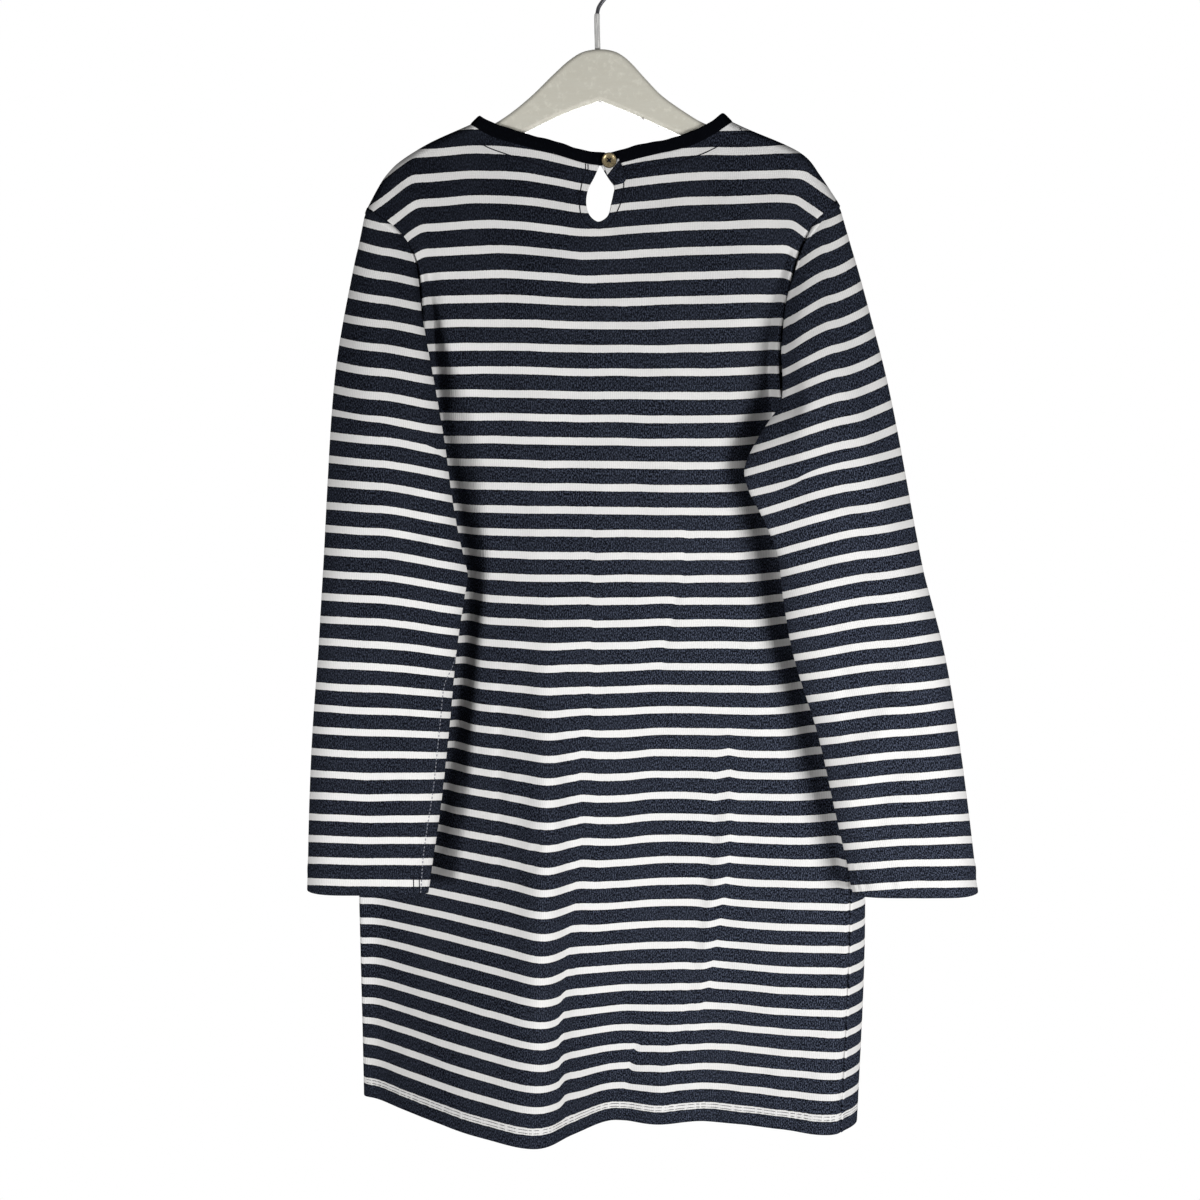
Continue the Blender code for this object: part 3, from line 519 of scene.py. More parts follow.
def stripe_rise(x, z):
    """How far the stripes at a place lie above where they were cut."""
    chart = np.array([row[1:] for row in RISE])
    columns = between([row[0] for row in RISE], chart, x)
    heights = np.array([-h for h in RISE_HEIGHTS], float)
    at = np.clip(-z, heights[0], heights[-1])
    i = np.clip(np.searchsorted(heights, at, side="right") - 1, 0, len(heights) - 2)
    t = (at - heights[i]) / (heights[i + 1] - heights[i])
    a = np.take_along_axis(columns, i[..., None], -1)[..., 0]
    b = np.take_along_axis(columns, (i + 1)[..., None], -1)[..., 0]
    rise = a + (b - a) * t
    for side, fall, line in FALL_LINES:
        x_line = np.interp(-z, [-h for h, _ in line], [v for _, v in line])
        past = side * (x - x_line)
        soft = np.where(past > 6, past, np.log1p(np.exp(np.minimum(past, 6) / 1.6)) * 1.6)
        fade = 1 - soft_step(-262, -300, z)
        rise = rise - fall * soft * fade
    return rise


STRIPE_BENDS = (
    # name, jump up to the right, peak, width of the peak, line of (x, z)
    ("long ridge", 1.0, 1.7, 7, ((-16, -608), (-17, -640), (-17, -700), (-21, -745), (-27, -790),
                                 (-31, -838), (-32, -862), (-31, -894), (-30, -925))),
    ("foot of the long ridge", 2.4, 0, 6, ((-30, -815), (-33, -850), (-31, -925))),
    ("right ridge", 0, 2.1, 6, ((104, -612), (105, -640), (105, -722), (102, -742), (94, -800),
                                (86, -845))),
    ("valley beside it", 0, -1.0, 6, ((94, -628), (93, -700), (90, -732), (81, -790),
                                      (70, -838), (66, -868))),
    ("fine vertical crease", -.7, 0, 3, ((-7, -440), (-7, -500), (-7, -560), (-8, -612))),
    ("fine diagonal crease", -.9, 0, 3, ((68, -436), (66, -466), (64, -484), (59, -502),
                                          (57, -520), (52, -538), (50, -558))),
    ("hem crease", -2.2, 0, 3, ((32, -874), (27, -892), (22, -914))))


def bend_rise(x, z):
    """The small jumps and peaks of the stripes across the sharper creases."""
    rise = 0
    for _, jump, peak, width, path in STRIPE_BENDS:
        heights = [-row[1] for row in path]
        off = x - between(heights, [row[0] for row in path], -z)
        amount = soft_step(heights[0] - 14, heights[0] + 14, -z) * (
            soft_step(heights[-1] + 14, heights[-1] - 14, -z))
        rise = rise + amount * jump * .5 * np.tanh(off / 1.6) * np.exp(-(off / 13) ** 2)
        rise = rise + amount * peak * np.exp((.8 - np.sqrt(off ** 2 + .64)) / width)
    return rise


def body_cloth(grid):
    """Height on the cloth, in stripes from the first white one, for a panel."""
    x, z = grid[..., 0], grid[..., 2]
    cut = z - stripe_rise(x, z)
    for _ in range(3):
        cut = z - stripe_rise(x, cut)
    return (FIRST_WHITE - cut) / PITCH


back_stripe, front_stripe = body_cloth(back_grid), body_cloth(front_grid)
back_stripe += bend_rise(back_grid[..., 0], back_grid[..., 2]) / PITCH
print("stripes down the back:", round(float(back_stripe.max() - back_stripe.min())))

# %% [markdown]
# ## From a grid to a wall of cloth
# Each sheet is one grid with a UV map called cloth. Across, the map is the tape
# measure along the row, and down it counts stripes, both scaled to metres. The
# finish reads only this map, so stripes and ribs follow every fold. A Solidify
# modifier gives the wall its thickness.

# %% Build a sheet
CLOTH_WALL = 1.5
MAP_SOFTNESS = 20        # rows above and below that the map's tape measure is smoothed over


def to_mesh(bm, name):
    """A named mesh from a finished bmesh."""
    mesh = bpy.data.meshes.new(name)
    bm.to_mesh(mesh)
    bm.free()
    return mesh


def cloth_map(grid, stripe):
    """UV in metres: along the middle row's tape measure, and down by stripes."""
    step = np.linalg.norm(np.diff(grid, axis=1), axis=-1)
    reach = np.concatenate([np.zeros((len(grid), 1)), np.cumsum(step, axis=1)], axis=1)
    reach -= reach[:, grid.shape[1] // 2][:, None]
    rows = len(grid)
    kernel = np.hanning(2 * MAP_SOFTNESS + 1)
    kernel /= kernel.sum()
    wide = np.concatenate([reach[:1].repeat(MAP_SOFTNESS, 0), reach,
                           reach[-1:].repeat(MAP_SOFTNESS, 0)])
    smooth = np.stack([np.convolve(wide[:, c], kernel, "valid") for c in range(grid.shape[1])], 1)
    return np.stack([smooth[:rows] * MM, -stripe * PITCH * MM], axis=-1)


def build_sheet(name, grid, cloth_uv, closed=False):
    """A sheet from a grid of points in mm. A closed one joins its last column."""
    rows, columns = grid.shape[:2]
    bm = bmesh.new()
    bmesh.ops.create_grid(bm, x_segments=columns - 1, y_segments=rows - 1, size=0.5)
    mesh = to_mesh(bm, name)
    flat = np.empty(len(mesh.vertices) * 3)
    mesh.vertices.foreach_get("co", flat)
    flat = flat.reshape(-1, 3)
    column = np.rint((flat[:, 0] + .5) * (columns - 1)).astype(int)
    row = np.rint((.5 - flat[:, 1]) * (rows - 1)).astype(int)
    mesh.vertices.foreach_set("co", (grid[row, column] * MM).ravel())
    layer = mesh.uv_layers.new(name="cloth")
    corner = np.empty(len(mesh.loops), int)
    mesh.loops.foreach_get("vertex_index", corner)
    layer.data.foreach_set("uv", cloth_uv[row[corner], column[corner]].ravel())
    if closed:
        bm = bmesh.new()
        bm.from_mesh(mesh)
        bmesh.ops.remove_doubles(bm, verts=bm.verts, dist=1e-6)
        bm.to_mesh(mesh)
        bm.free()
    mesh.shade_smooth()
    mesh.update()
    return mesh


def show(name, mesh, finish, node=None):
    """Puts a mesh in the scene as a piece that rides on the dress."""
    piece = bpy.data.objects.new(name, mesh)
    if not mesh.materials:
        mesh.materials.append(finish)
    bpy.context.scene.collection.objects.link(piece)
    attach(piece, "root")
    if node:
        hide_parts(node)
    return piece


def thicken(piece, thickness):
    wall = piece.modifiers.new("wall", 'SOLIDIFY')
    wall.thickness = thickness * MM
    wall.offset = 0
    wall.use_even_offset = False


def settle(piece):
    """Applies a piece's modifiers to its mesh."""
    graph = bpy.context.evaluated_depsgraph_get()
    mesh = bpy.data.meshes.new_from_object(piece.evaluated_get(graph), depsgraph=graph)
    piece.modifiers.clear()
    piece.data = mesh


def cut_out(piece, name, cutter_mesh):
    """Cuts a mesh's shape out of a piece, and applies the piece's modifiers."""
    cutter = bpy.data.objects.new(name, cutter_mesh)
    bpy.context.scene.collection.objects.link(cutter)
    cut = piece.modifiers.new(name, 'BOOLEAN')
    cut.operation, cut.solver, cut.object = 'DIFFERENCE', 'EXACT', cutter
    settle(piece)
    bpy.data.objects.remove(cutter)


def plate(outline, near, thick):
    """A flat plate with an outline of (x, z), from its near face back, in mm."""
    bm = bmesh.new()
    bmesh.ops.create_circle(bm, cap_ends=True, segments=len(outline), radius=1)
    for vert, (x, z) in zip(bm.verts, outline):
        vert.co = (x * MM, near * MM, z * MM)
    pulled = bmesh.ops.extrude_face_region(bm, geom=bm.faces[:])
    moved = [item for item in pulled["geom"] if isinstance(item, bmesh.types.BMVert)]
    bmesh.ops.translate(bm, verts=moved, vec=(0, thick * MM, 0))
    bmesh.ops.recalc_face_normals(bm, faces=bm.faces)
    return bm


back_mesh = build_sheet("back_cloth", back_grid, cloth_map(back_grid, back_stripe))
front_mesh = build_sheet("front_cloth", front_grid, cloth_map(front_grid, front_stripe))
print("back sheet:", len(back_mesh.polygons), "faces; front:", len(front_mesh.polygons))

# %% [markdown]
# ## Shader sums as Python
# A finish is worked out from a few measures, such as the distance to a stripe's
# edge. Written as nodes, such sums are hard to read. This small class wraps a
# socket, so that a plus sign adds a Math node. Every other node comes from one
# method, and colours are only ever mixed, never summed.


# %% Finish: nodes written as expressions
class Amount:
    """A number or colour that changes over a surface."""

    def __init__(self, finish, socket):
        self.finish, self.socket = finish, socket

    def sum(self, operation, *others):
        values = dict(enumerate((self,) + others))
        return self.finish.node("Math", {"operation": operation}, values)

    def __add__(self, other):
        return self.sum('ADD', other)

    def __sub__(self, other):
        return self.sum('SUBTRACT', other)

    def __mul__(self, other):
        return self.sum('MULTIPLY', other)

    def __truediv__(self, other):
        return self.sum('DIVIDE', other)

    def __rsub__(self, other):
        return self.finish.node("Math", {"operation": 'SUBTRACT'}, {0: other, 1: self})

    __radd__ = __add__
    __rmul__ = __mul__


def tone(red, green, blue):
    """A colour as it looks on screen (0 to 255), in the linear form nodes take."""
    parts = [v / 255 for v in (red, green, blue)]
    return tuple(v / 12.92 if v < .04045 else ((v + .055) / 1.055) ** 2.4 for v in parts) + (1.0,)


class Finish:
    """A material whose nodes are added by name."""

    def __init__(self, name):
        self.material = bpy.data.materials.new(name)
        self.material.use_nodes = True
        self.tree = self.material.node_tree
        self.shader = self.tree.nodes["Principled BSDF"]

    def feed(self, socket, value):
        if isinstance(value, Amount):
            self.tree.links.new(value.socket, socket)
        else:
            socket.default_value = value

    def node(self, kind, settings=None, sockets=None, out=0):
        node = self.tree.nodes.new("ShaderNode" + kind)
        for key, value in (settings or {}).items():
            setattr(node, key, value)
        for key, value in (sockets or {}).items():
            self.feed(node.inputs[key], value)
        return Amount(self, node.outputs[out])

    def set(self, **sockets):
        for key, value in sockets.items():
            self.feed(self.shader.inputs[key.replace("_", " ")], value)

    def cloth(self):
        return self.node("UVMap", {"uv_map": "cloth"})

    def place(self):
        return self.node("TexCoord", out="Object")

    def split(self, where):
        node = self.tree.nodes.new("ShaderNodeSeparateXYZ")
        self.feed(node.inputs[0], where)
        return [Amount(self, output) for output in node.outputs]

    def stretch(self, where, scale):
        return self.node("VectorMath", {"operation": 'MULTIPLY'}, {0: where, 1: scale})

    def noise(self, where, scale=1.0, detail=2.0, roughness=.5):
        return self.node("TexNoise", None, {"Vector": where, "Scale": scale, "Detail": detail,
                                            "Roughness": roughness})

    def ramp(self, value, low, high):
        """0 where a value is below low, 1 above high, smooth in between."""
        return self.node("MapRange", {"interpolation_type": 'SMOOTHSTEP'},
                         {"Value": value, "From Min": low, "From Max": high})

    def blend(self, share, first, second):
        return self.node("Mix", {"data_type": 'RGBA'}, {0: share, 6: first, 7: second}, out=2)

    def bump(self, height, distance, strength=1.0):
        return self.node("Bump", None, {"Height": height, "Distance": distance,
                                        "Strength": strength})


print("navy in linear light:", tuple(round(v, 3) for v in tone(30, 38, 52)[:3]))

# %% [markdown]
# ## The striped knit
# Sweatshirt jersey is knitted in fine columns of loops, called wales, about a
# millimetre and a half wide where two ride together. The navy is spun from a dark
# and a lighter fibre, so it is flecked, and the flecks run along the wales. Where
# navy meets white the loops interlock, which gives a ragged edge with a darker
# line. The grooves between the wales are painted darker, as painted shade. The
# navy is also painted darker towards the top and the left, as painted shade, and
# is lightest towards the hem and the right.


# %% Striped knit
WALE, LOOP = .0016, .0013
WHITE_HALF = .163        # from the middle of a white stripe to its edge, in stripe pairs


def wale_ribs(finish, u, where):
    """0 in the groove between two wales and 1 on their crowns."""
    drift = finish.noise(finish.stretch(where, (90.0, 14.0, 0.0)), detail=1.0)
    turns = u * (2 * math.pi / WALE) + drift * 9.0
    return turns.sum('SINE') * .5 + .5


def striped_knit():
    knit = Finish("striped knit")
    where = knit.cloth()
    u, v, _ = knit.split(where)
    ribs = wale_ribs(knit, u, where)
    ragged = knit.noise(knit.stretch(where, (820.0, 90.0, 0.0)), detail=2.0, roughness=.7)
    wander = knit.noise(knit.stretch(where, (26.0, 40.0, 0.0)), detail=1.0)
    count = v * (1000 / PITCH) + (ragged - .5) * .05 + (wander - .5) * .07
    off = ((count + .5).sum('FRACT') - .5).sum('ABSOLUTE')
    navy_share = knit.ramp(off, WHITE_HALF - .010, WHITE_HALF + .010)
    border = navy_share * (1 - knit.ramp(off, WHITE_HALF + .013, WHITE_HALF + .047))
    fleck = knit.noise(knit.stretch(where, (1250.0, 600.0, 0.0)), detail=2.0, roughness=.6)
    broad = knit.noise(knit.stretch(where, (22.0, 9.0, 0.0)), detail=2.0)
    flecked = knit.ramp(fleck, .475, .57)
    across, _, height = knit.split(knit.place())
    # painted shade: the navy is darker towards the top and the left, and lightest towards the hem
    # and the right
    wear_and_painted_shade = knit.ramp(height * -1.0, .12, .42) * .44 + knit.ramp(across, -.25, .25) * .56
    navy = knit.blend(flecked * .95, tone(14, 16, 21), tone(82, 89, 107))
    navy = knit.blend((1 - wear_and_painted_shade) * .8, navy, tone(9, 10, 14))
    # painted shade: the navy is darker in the grooves between the wales
    navy = knit.blend((1 - ribs) * .55, navy, tone(12, 14, 19))
    navy = knit.blend(knit.ramp(broad, .35, .7) * .22, navy, tone(46, 50, 60))
    # painted shade: the white is greyer in the grooves between the wales
    white = knit.blend((1 - ribs) * .30, tone(226, 225, 224), tone(184, 184, 186))
    white = knit.blend(knit.ramp(fleck, .56, .76) * .3, white, tone(174, 174, 176))
    white = knit.blend(knit.ramp(broad, .4, .75) * .25, white, tone(230, 228, 224))
    colour = knit.blend(navy_share, white, navy)
    colour = knit.blend(border * .75, colour, tone(8, 9, 14))
    loops = (v * (2 * math.pi / LOOP) + u * 300.0).sum('SINE')
    relief = ribs * .8 + loops * .12 + fleck * .5
    knit.set(Base_Color=colour, Roughness=.94, Specular_IOR_Level=.0,
             Normal=knit.bump(relief, .00035, .6))
    return knit.material


knit_cloth = striped_knit()
print("knit nodes:", len(knit_cloth.node_tree.nodes))

# %% [markdown]
# ## Back and front
# The two panels are shown as walls of the knit. The keyhole is cut through the
# back's wall with a cutter of the keyhole's outline, after the wall has its
# thickness, as the real one is slashed through the finished cloth.

# %% Keyhole outline and cutter
KEYHOLE = ((-1, -163), (-5, -172), (-9.4, -180.6), (-11.2, -189), (-10.6, -196.5), (-7.6, -202.5),
           (-2, -206.3), (3.4, -204.6), (7.2, -200.5), (9, -193), (10.6, -186), (11.4, -179.8),
           (6.4, -172), (1, -163))
keyhole_line = Ruler(KEYHOLE, steps=8)
SLASH_TOP = ((1, -150), (-1, -150))
back = show("back_cloth", back_mesh, knit_cloth, "back_panel")
front = show("front_cloth", front_mesh, knit_cloth, "front_panel")
thicken(back, CLOTH_WALL)
thicken(front, CLOTH_WALL)
slash = plate([tuple(p) for p in keyhole_line.points] + list(SLASH_TOP), near=-16, thick=17)
cut_out(back, "keyhole", to_mesh(slash, "keyhole_cutter"))
settle(front)
print("keyhole about", round(float(np.ptp(keyhole_line.points[:, 0])), 1), "mm wide; back has",
      len(back.data.polygons), "faces")

# %% [markdown]
# ## Sleeves
# A set-in sleeve starts as a cap sewn round the armhole and becomes a tube. Empty,
# it flattens: its two long folds hang at its edges. Each column of the grid leaves
# the armhole seam square to it, bends over a point half way down the cap, and
# joins a ring. From there rings are charted to the cuff, by height, inner edge,
# outer edge, and the depths of the two sides.

# %% Sleeve charts
SLEEVE_RING_Z, CUFF_Z = -480.0, -742.0
SLEEVE_HEADS = (
    # place, share round the armhole, way out, half-way point left, right, ring share
    ("underarm", 0.00, (-.9, -.35, -.25), (-186, 6, -447), (192, -2, -447), -.08),
    ("lower back", 0.09, (-.35, -.93, 0), (-146, 1, -426), (150, -12, -424), -.03),
    ("mid back", 0.18, (-.1, -1, 0), (-125, -6, -402), (125, -18, -404), .02),
    ("inner fold", 0.26, (0, -1, -.1), (-120, -12, -394), (117, -26, -401), .07),
    ("upper back", 0.33, (0, -.9, -.4), (-124, -22, -374), (141, -35, -374), .13),
    ("back notch", 0.40, (-.45, -.5, -.75), (-140, -28, -350), (154, -40, -350), .21),
    ("back cap", 0.44, (-.55, -.25, -.8), (-161, -28, -340), (172, -39, -338), .29),
    ("cap shoulder", 0.48, (-.5, -.2, -.85), (-186, -22, -334), (199, -31, -334), .39),
    ("shoulder tip", 0.517, (-.5, 0, -.87), (-206, -3, -322), (222, -10, -325), .50),
    ("front cap", 0.56, (-.6, .3, -.75), (-203, 14, -330), (219, 8, -335), .59),
    ("front notch", 0.65, (-.9, .25, -.4), (-203, 18, -362), (216, 12, -362), .69),
    ("mid front", 0.81, (-1, -.1, -.1), (-205, 11, -404), (214, 4, -404), .80),
    ("lower front", 0.95, (-1, -.1, -.1), (-201, 8, -434), (208, 1, -434), .88))
SLEEVE_RINGS = {
    "left": (
        (SLEEVE_RING_Z, (-105.5, -8), (-219.5, -5), -31, 2),
        (-540.0, (-115, -10), (-224.5, -6), -30, 2),
        (-606.0, (-122, -10), (-231, -4), -29, 6),
        (-672.0, (-130, -10), (-236, 0), -28, 9),
        (CUFF_Z, (-141, -10), (-240, 5), -25, 11)),
    "right": (
        (SLEEVE_RING_Z, (142, -24), (256, -10), -46, -12),
        (-540.0, (153, -24), (273.5, -8), -44, -13),
        (-606.0, (174, -25), (287, -6), -44, -16),
        (-672.0, (189.5, -26), (298, -4), -44, -18),
        (CUFF_Z, (205, -27), (308, -2), -43, -19))}
FIRST_STEPS, RING_STEP = (2.5, 6.0), 37.4
TIP_REACH, TIP_TUCK = .03, (.9, -1.6)   # the cap's tip is tucked in, or it stands up


class SleeveShape:
    """A sleeve as columns from the armhole seam down to the cuff."""

    def __init__(self, side):
        self.mirror = 1 if side == "left" else -1
        self.half_way = 3 if side == "left" else 4
        self.rings = SLEEVE_RINGS[side]
        self.back, self.front = Ruler(ARMHOLES["back", side]), Ruler(ARMHOLES["front", side])
        self.tip = self.back.length / (self.back.length + self.front.length)
        table_tip = SLEEVE_HEADS[8][1]
        keys = np.array([row[1] for row in SLEEVE_HEADS] + [1.0])
        self.stops = np.where(keys <= table_tip, keys / table_tip * self.tip,
                              self.tip + (keys - table_tip) / (1 - table_tip) * (1 - self.tip))

    def chart(self, column, q):
        values = [row[column] for row in SLEEVE_HEADS]
        values.append(values[0] + 1.0 if column == 5 else values[0])
        return between(self.stops, values, q)

    def seam(self, q):
        q = q % 1.0
        if q <= self.tip:
            return self.back.share(1 - q / self.tip)
        return self.front.share((q - self.tip) / (1 - self.tip))

    def outward(self, q):
        """Way out of the panel's surface at its armhole edge."""
        on_back = q <= self.tip
        shape = back_shape if on_back else front_shape
        share = 1 - q / self.tip if on_back else (q - self.tip) / (1 - self.tip)
        edge = 0.0 if self.mirror > 0 else 1.0
        inside = edge + .012 * self.mirror
        a, b = shape.yoke(np.array([edge, inside]), min(share, .999))
        way = a - b
        along = self.seam(q + .004) - self.seam(q - .004)
        near_tip = max(1 - abs(q - self.tip) / .012, 0)
        way = way - along * (way @ along / (along @ along)) * (1 - near_tip)
        way = unit(way)
        from_underarm = min(q, 1 - q) / .022
        below = unit(np.array([-.8 * self.mirror, -.2, 1.0]))
        return unit(way + (below - way) * max(1 - from_underarm, 0) ** .7)

    def ring(self, z, shares):
        down = [-row[0] for row in self.rings]
        inner, outer = (between(down, [row[k] for row in self.rings], np.array(-z)) for k in (1, 2))
        near, far = (float(between(down, [row[k] for row in self.rings], np.array(-z)))
                     for k in (3, 4))

        def at(across, depth, lift):
            edge = inner + (outer - inner) * across
            return edge[0], edge[1] + (depth - edge[1]) * lift

        ring = Ruler((tuple(inner), at(.05, near, .55), at(.2, near, .93), at(.5, near, 1),
                      at(.8, near, .93), at(.95, near, .55), tuple(outer), at(.94, far, .6),
                      at(.75, far, .95), at(.4, far, 1), at(.1, far, .7)), closed=True)
        flat = ring.share(shares % 1.0)
        return np.column_stack([flat, np.full(len(shares), z)])

    def grid(self, columns, turn_rows, cap_rows, tube_rows):
        q = np.arange(columns + 1) / columns
        ring_share = self.chart(5, q)
        tube_z = np.linspace(SLEEVE_RING_Z, CUFF_Z, tube_rows + 1)
        tube = np.array([self.ring(z, ring_share) for z in tube_z])
        below = self.ring(SLEEVE_RING_Z - RING_STEP, ring_share)
        half_way = self.chart(self.half_way, q)
        ways = unit(self.chart(2, q) * [self.mirror, 1, 1])
        cap = np.empty((turn_rows + cap_rows, columns + 1, 3))
        for k in range(columns + 1):
            seam, out = self.seam(q[k]), self.outward(q[k] % 1.0)
            fold = 1 - max(ways[k] @ out, 0)
            at_tip = max(1 - abs(q[k] - self.tip) / TIP_REACH, 0)
            start = seam + out * (.2 + .75 * (.9 + .5 * fold) * (1 - at_tip))
            start += np.array([TIP_TUCK[0] * self.mirror, 0, TIP_TUCK[1]]) * at_tip
            first, second = (start + ways[k] * step for step in FIRST_STEPS)
            route = Ruler((start, first, second, half_way[k], tube[0, k], below[k]))
            turn, ring = route.knots[2], route.knots[4]
            where = np.concatenate([turn * np.arange(turn_rows) / turn_rows,
                                    turn + (ring - turn) * np.arange(cap_rows) / cap_rows])
            cap[:, k] = route.at(where)
        return np.concatenate([cap, tube])


left_shape, right_shape = SleeveShape("left"), SleeveShape("right")
SLEEVE_GRID = {"columns": 132, "turn_rows": 8, "cap_rows": 62, "tube_rows": 92}
left_grid, right_grid = left_shape.grid(**SLEEVE_GRID), right_shape.grid(**SLEEVE_GRID)
print("sleeve grids", left_grid.shape[:2], "; flat cuff",
      round(float(np.ptp(left_grid[-1, :, 0]))), "mm")

# %% [markdown]
# ## The sleeves' folds and stripes
# The sleeve swings out from the body, so its stripes tilt, and where the cap was
# eased in they curve. The chart gives, for a few stripes counted up from the cuff,
# three places across and how far the stripe lies off its level there. Only the
# side towards the back needs a chart, and the far side carries on from it.

# %% Folds on the sleeves
LEFT_CREASES = (
    ("cap dent", -1.8, 8, 0, ((-160, -232), (-163, -262), (-158, -300))),
    ("cap roll", 1.6, 9, .2, ((-184, -226), (-186, -262), (-188, -310))),
    ("elbow drag 1", 1.6, 7, 0, ((-128, -402), (-158, -420), (-196, -428))),
    ("elbow drag 2", -1.4, 6, 0, ((-122, -430), (-150, -452), (-186, -462))),
    ("long swell", 1.8, 11, 0, ((-178, -470), (-182, -560), (-192, -660))),
    ("long crease", -1.6, 6, .3, ((-150, -500), (-154, -580), (-164, -665))),
    ("cuff pull", 1.0, 5, 0, ((-196, -690), (-200, -716), (-202, -738))),
    ("soft hollow", -3.2, 13, 0, ((-162, -310), (-152, -380), (-142, -450), (-134, -520),
                                  (-126, -580))))
RIGHT_CREASES = (
    ("cap dent", -1.8, 8, 0, ((164, -228), (168, -262), (160, -300))),
    ("cap roll", 1.6, 9, -.2, ((192, -230), (198, -268), (206, -320))),
    ("elbow drag 1", 1.8, 7, 0, ((128, -404), (164, -424), (206, -432))),
    ("elbow drag 2", -1.5, 6, 0, ((132, -436), (170, -458), (214, -470))),
    ("outer hollow", -3.0, 13, 0, ((172, -215), (190, -270), (206, -326), (226, -400),
                                   (244, -480))),
    ("long crease", -1.6, 6, .3, ((178, -500), (190, -560), (198, -610))),
    ("big slanting fold", 3.6, 8, -.35, ((258, -515), (245, -542), (223, -594), (201, -646),
                                        (196, -662))),
    ("hollow below it", -2.4, 10, 0, ((262, -560), (243, -604), (224, -650), (216, -700))),
    ("cuff pull 1", 1.1, 3.5, 0, ((236, -712), (238, -724), (240, -739))),
    ("cuff pull 2", -1.0, 3, 0, ((247, -714), (248, -726), (251, -740))),
    ("cuff pull 3", 1.0, 3, 0, ((258, -713), (260, -724), (262, -739))),
    ("cuff pull 4", -.9, 3, 0, ((268, -714), (270, -727), (272, -740))))
CUFF_STITCHES = (21.8, 24.6)


def grid_normals(grid, inside):
    """Way out of the surface at every point of a grid, away from the points inside."""
    down = np.gradient(grid, axis=0)
    across = np.gradient(grid, axis=1)
    if np.allclose(grid[:, 0], grid[:, -1], atol=1e-6):
        across[:, 0] = across[:, -1] = grid[:, 1] - grid[:, -2]
    out = unit(np.cross(across, down))
    return out if ((grid - inside) * out).sum() > 0 else -out


def finish_sleeve(grid, creases, short, pucker):
    """Presses a sleeve's folds and seams in. Its cuff is drawn up by short, in mm."""
    out = grid_normals(grid, grid.mean(axis=1, keepdims=True))
    facing = np.clip(-out[..., 1] * 1.6, 0, 1)
    for _, height, width, lean, path in creases:
        weight = fold_weight(grid[..., 0], grid[..., 2], path, width, lean) * facing
        grid += out * (height * weight)[..., None]
    up = grid[..., 2] - CUFF_Z
    relief = hem_relief(up, CUFF_STITCHES, .3)
    turn = np.arange(grid.shape[1]) * 2 * math.pi / (grid.shape[1] - 1)
    ripple = pucker * np.sin(turn * 17 + 2.2 * np.sin(turn * 5) + up * .16)
    relief += ripple * np.exp(-((up - 14) / 8) ** 2) * (up < 40)
    grid += out * relief[..., None]
    lift = short - .14 * (grid[..., 1] - grid[..., 1].min(axis=1, keepdims=True))
    grid[..., 2] += lift * soft_step(90, 8, up)
    from_seam = np.linalg.norm(grid - grid[:1], axis=-1)
    turn = np.exp(-(from_seam / 2.0) ** 2) * 1.25
    grid -= out * turn[..., None]


ELBOW_PULL = (
    # z, x of the sleeve's inner edge, how far the cloth there is drawn outward
    (-285, 141, 0), (-304, 140, 1.5), (-327, 136, 8.5), (-345, 131, 12.5), (-358, 127, 7.5),
    (-370, 122, 3), (-394, 117, -3.5), (-412, 118, -1), (-430, 123, 2.5), (-465, 138, 1.5),
    (-490, 143, 0))


def pull_elbow(grid):
    """Draws the right sleeve's inner edge to its place, and the cloth near it."""
    down = [-row[0] for row in ELBOW_PULL]
    inner, pull = (np.array([row[k] for row in ELBOW_PULL], float) for k in (1, 2))
    at = np.clip(-grid[..., 2], down[0], down[-1])
    from_inner = grid[..., 0] - between(down, inner, at)
    grid[..., 0] += between(down, pull, at) * (1 - soft_step(0, 42, from_inner))


pull_elbow(right_grid)
finish_sleeve(left_grid, LEFT_CREASES, 3.2, .3)
finish_sleeve(right_grid, RIGHT_CREASES, 7.0, .8)
print("cuff stitches", CUFF_STITCHES, "mm above the edge")

# %% Chart of the sleeves' stripes
SLEEVE_STRIPES = {
    # stripe, (x, off level) near the outer fold, in the middle, near the inner fold
    "left": (17.86, -726.3, -31, (
        (1, (-235, 1.2), (-190, 0.0), (-147, -.1)),
        (5, (-226, .8), (-184, -1.4), (-139, -.8)),
        (10, (-216, -.1), (-178, -2.1), (-131, -6.5)),
        (15, (-206, -.5), (-172, -2.1), (-125, -10.0)),
        (20, (-197, -.9), (-167, -3.6), (-131, -10.1)),
        (25, (-188, -.4), (-164, -3.7), (-139, -8.3)),
        (28, (-177, -.1), (-160, -4.5), (-141, -8.2)))),
    "right": (17.76, -722.6, -46, (
        (1, (290, .3), (252, 0.0), (210, -2.7)),
        (5, (281, 2.2), (241, -1.2), (198, -5.3)),
        (10, (268, 4.0), (227, -.9), (179, -7.1)),
        (15, (248, 4.6), (204, -2.8), (160, -12.6)),
        (20, (223, 5.3), (184, -4.7), (143, -17.2)),
        (25, (198, 5.0), (173, -5.3), (144, -21.0)),
        (28, (183, 5.1), (167, -3.4), (150, -13.4))))}


def near_side_depth(grid):
    """Depth of the side towards the back, at each point's place across."""
    depth = grid[..., 1].copy()
    for row, points in enumerate(grid):
        turn = int(np.argmax(np.abs(points[:, 0] - points[0, 0])))
        near = points[:turn + 1]
        order = np.argsort(near[:, 0])
        depth[row, turn:] = np.interp(points[turn:, 0], near[order, 0], near[order, 1])
    return depth


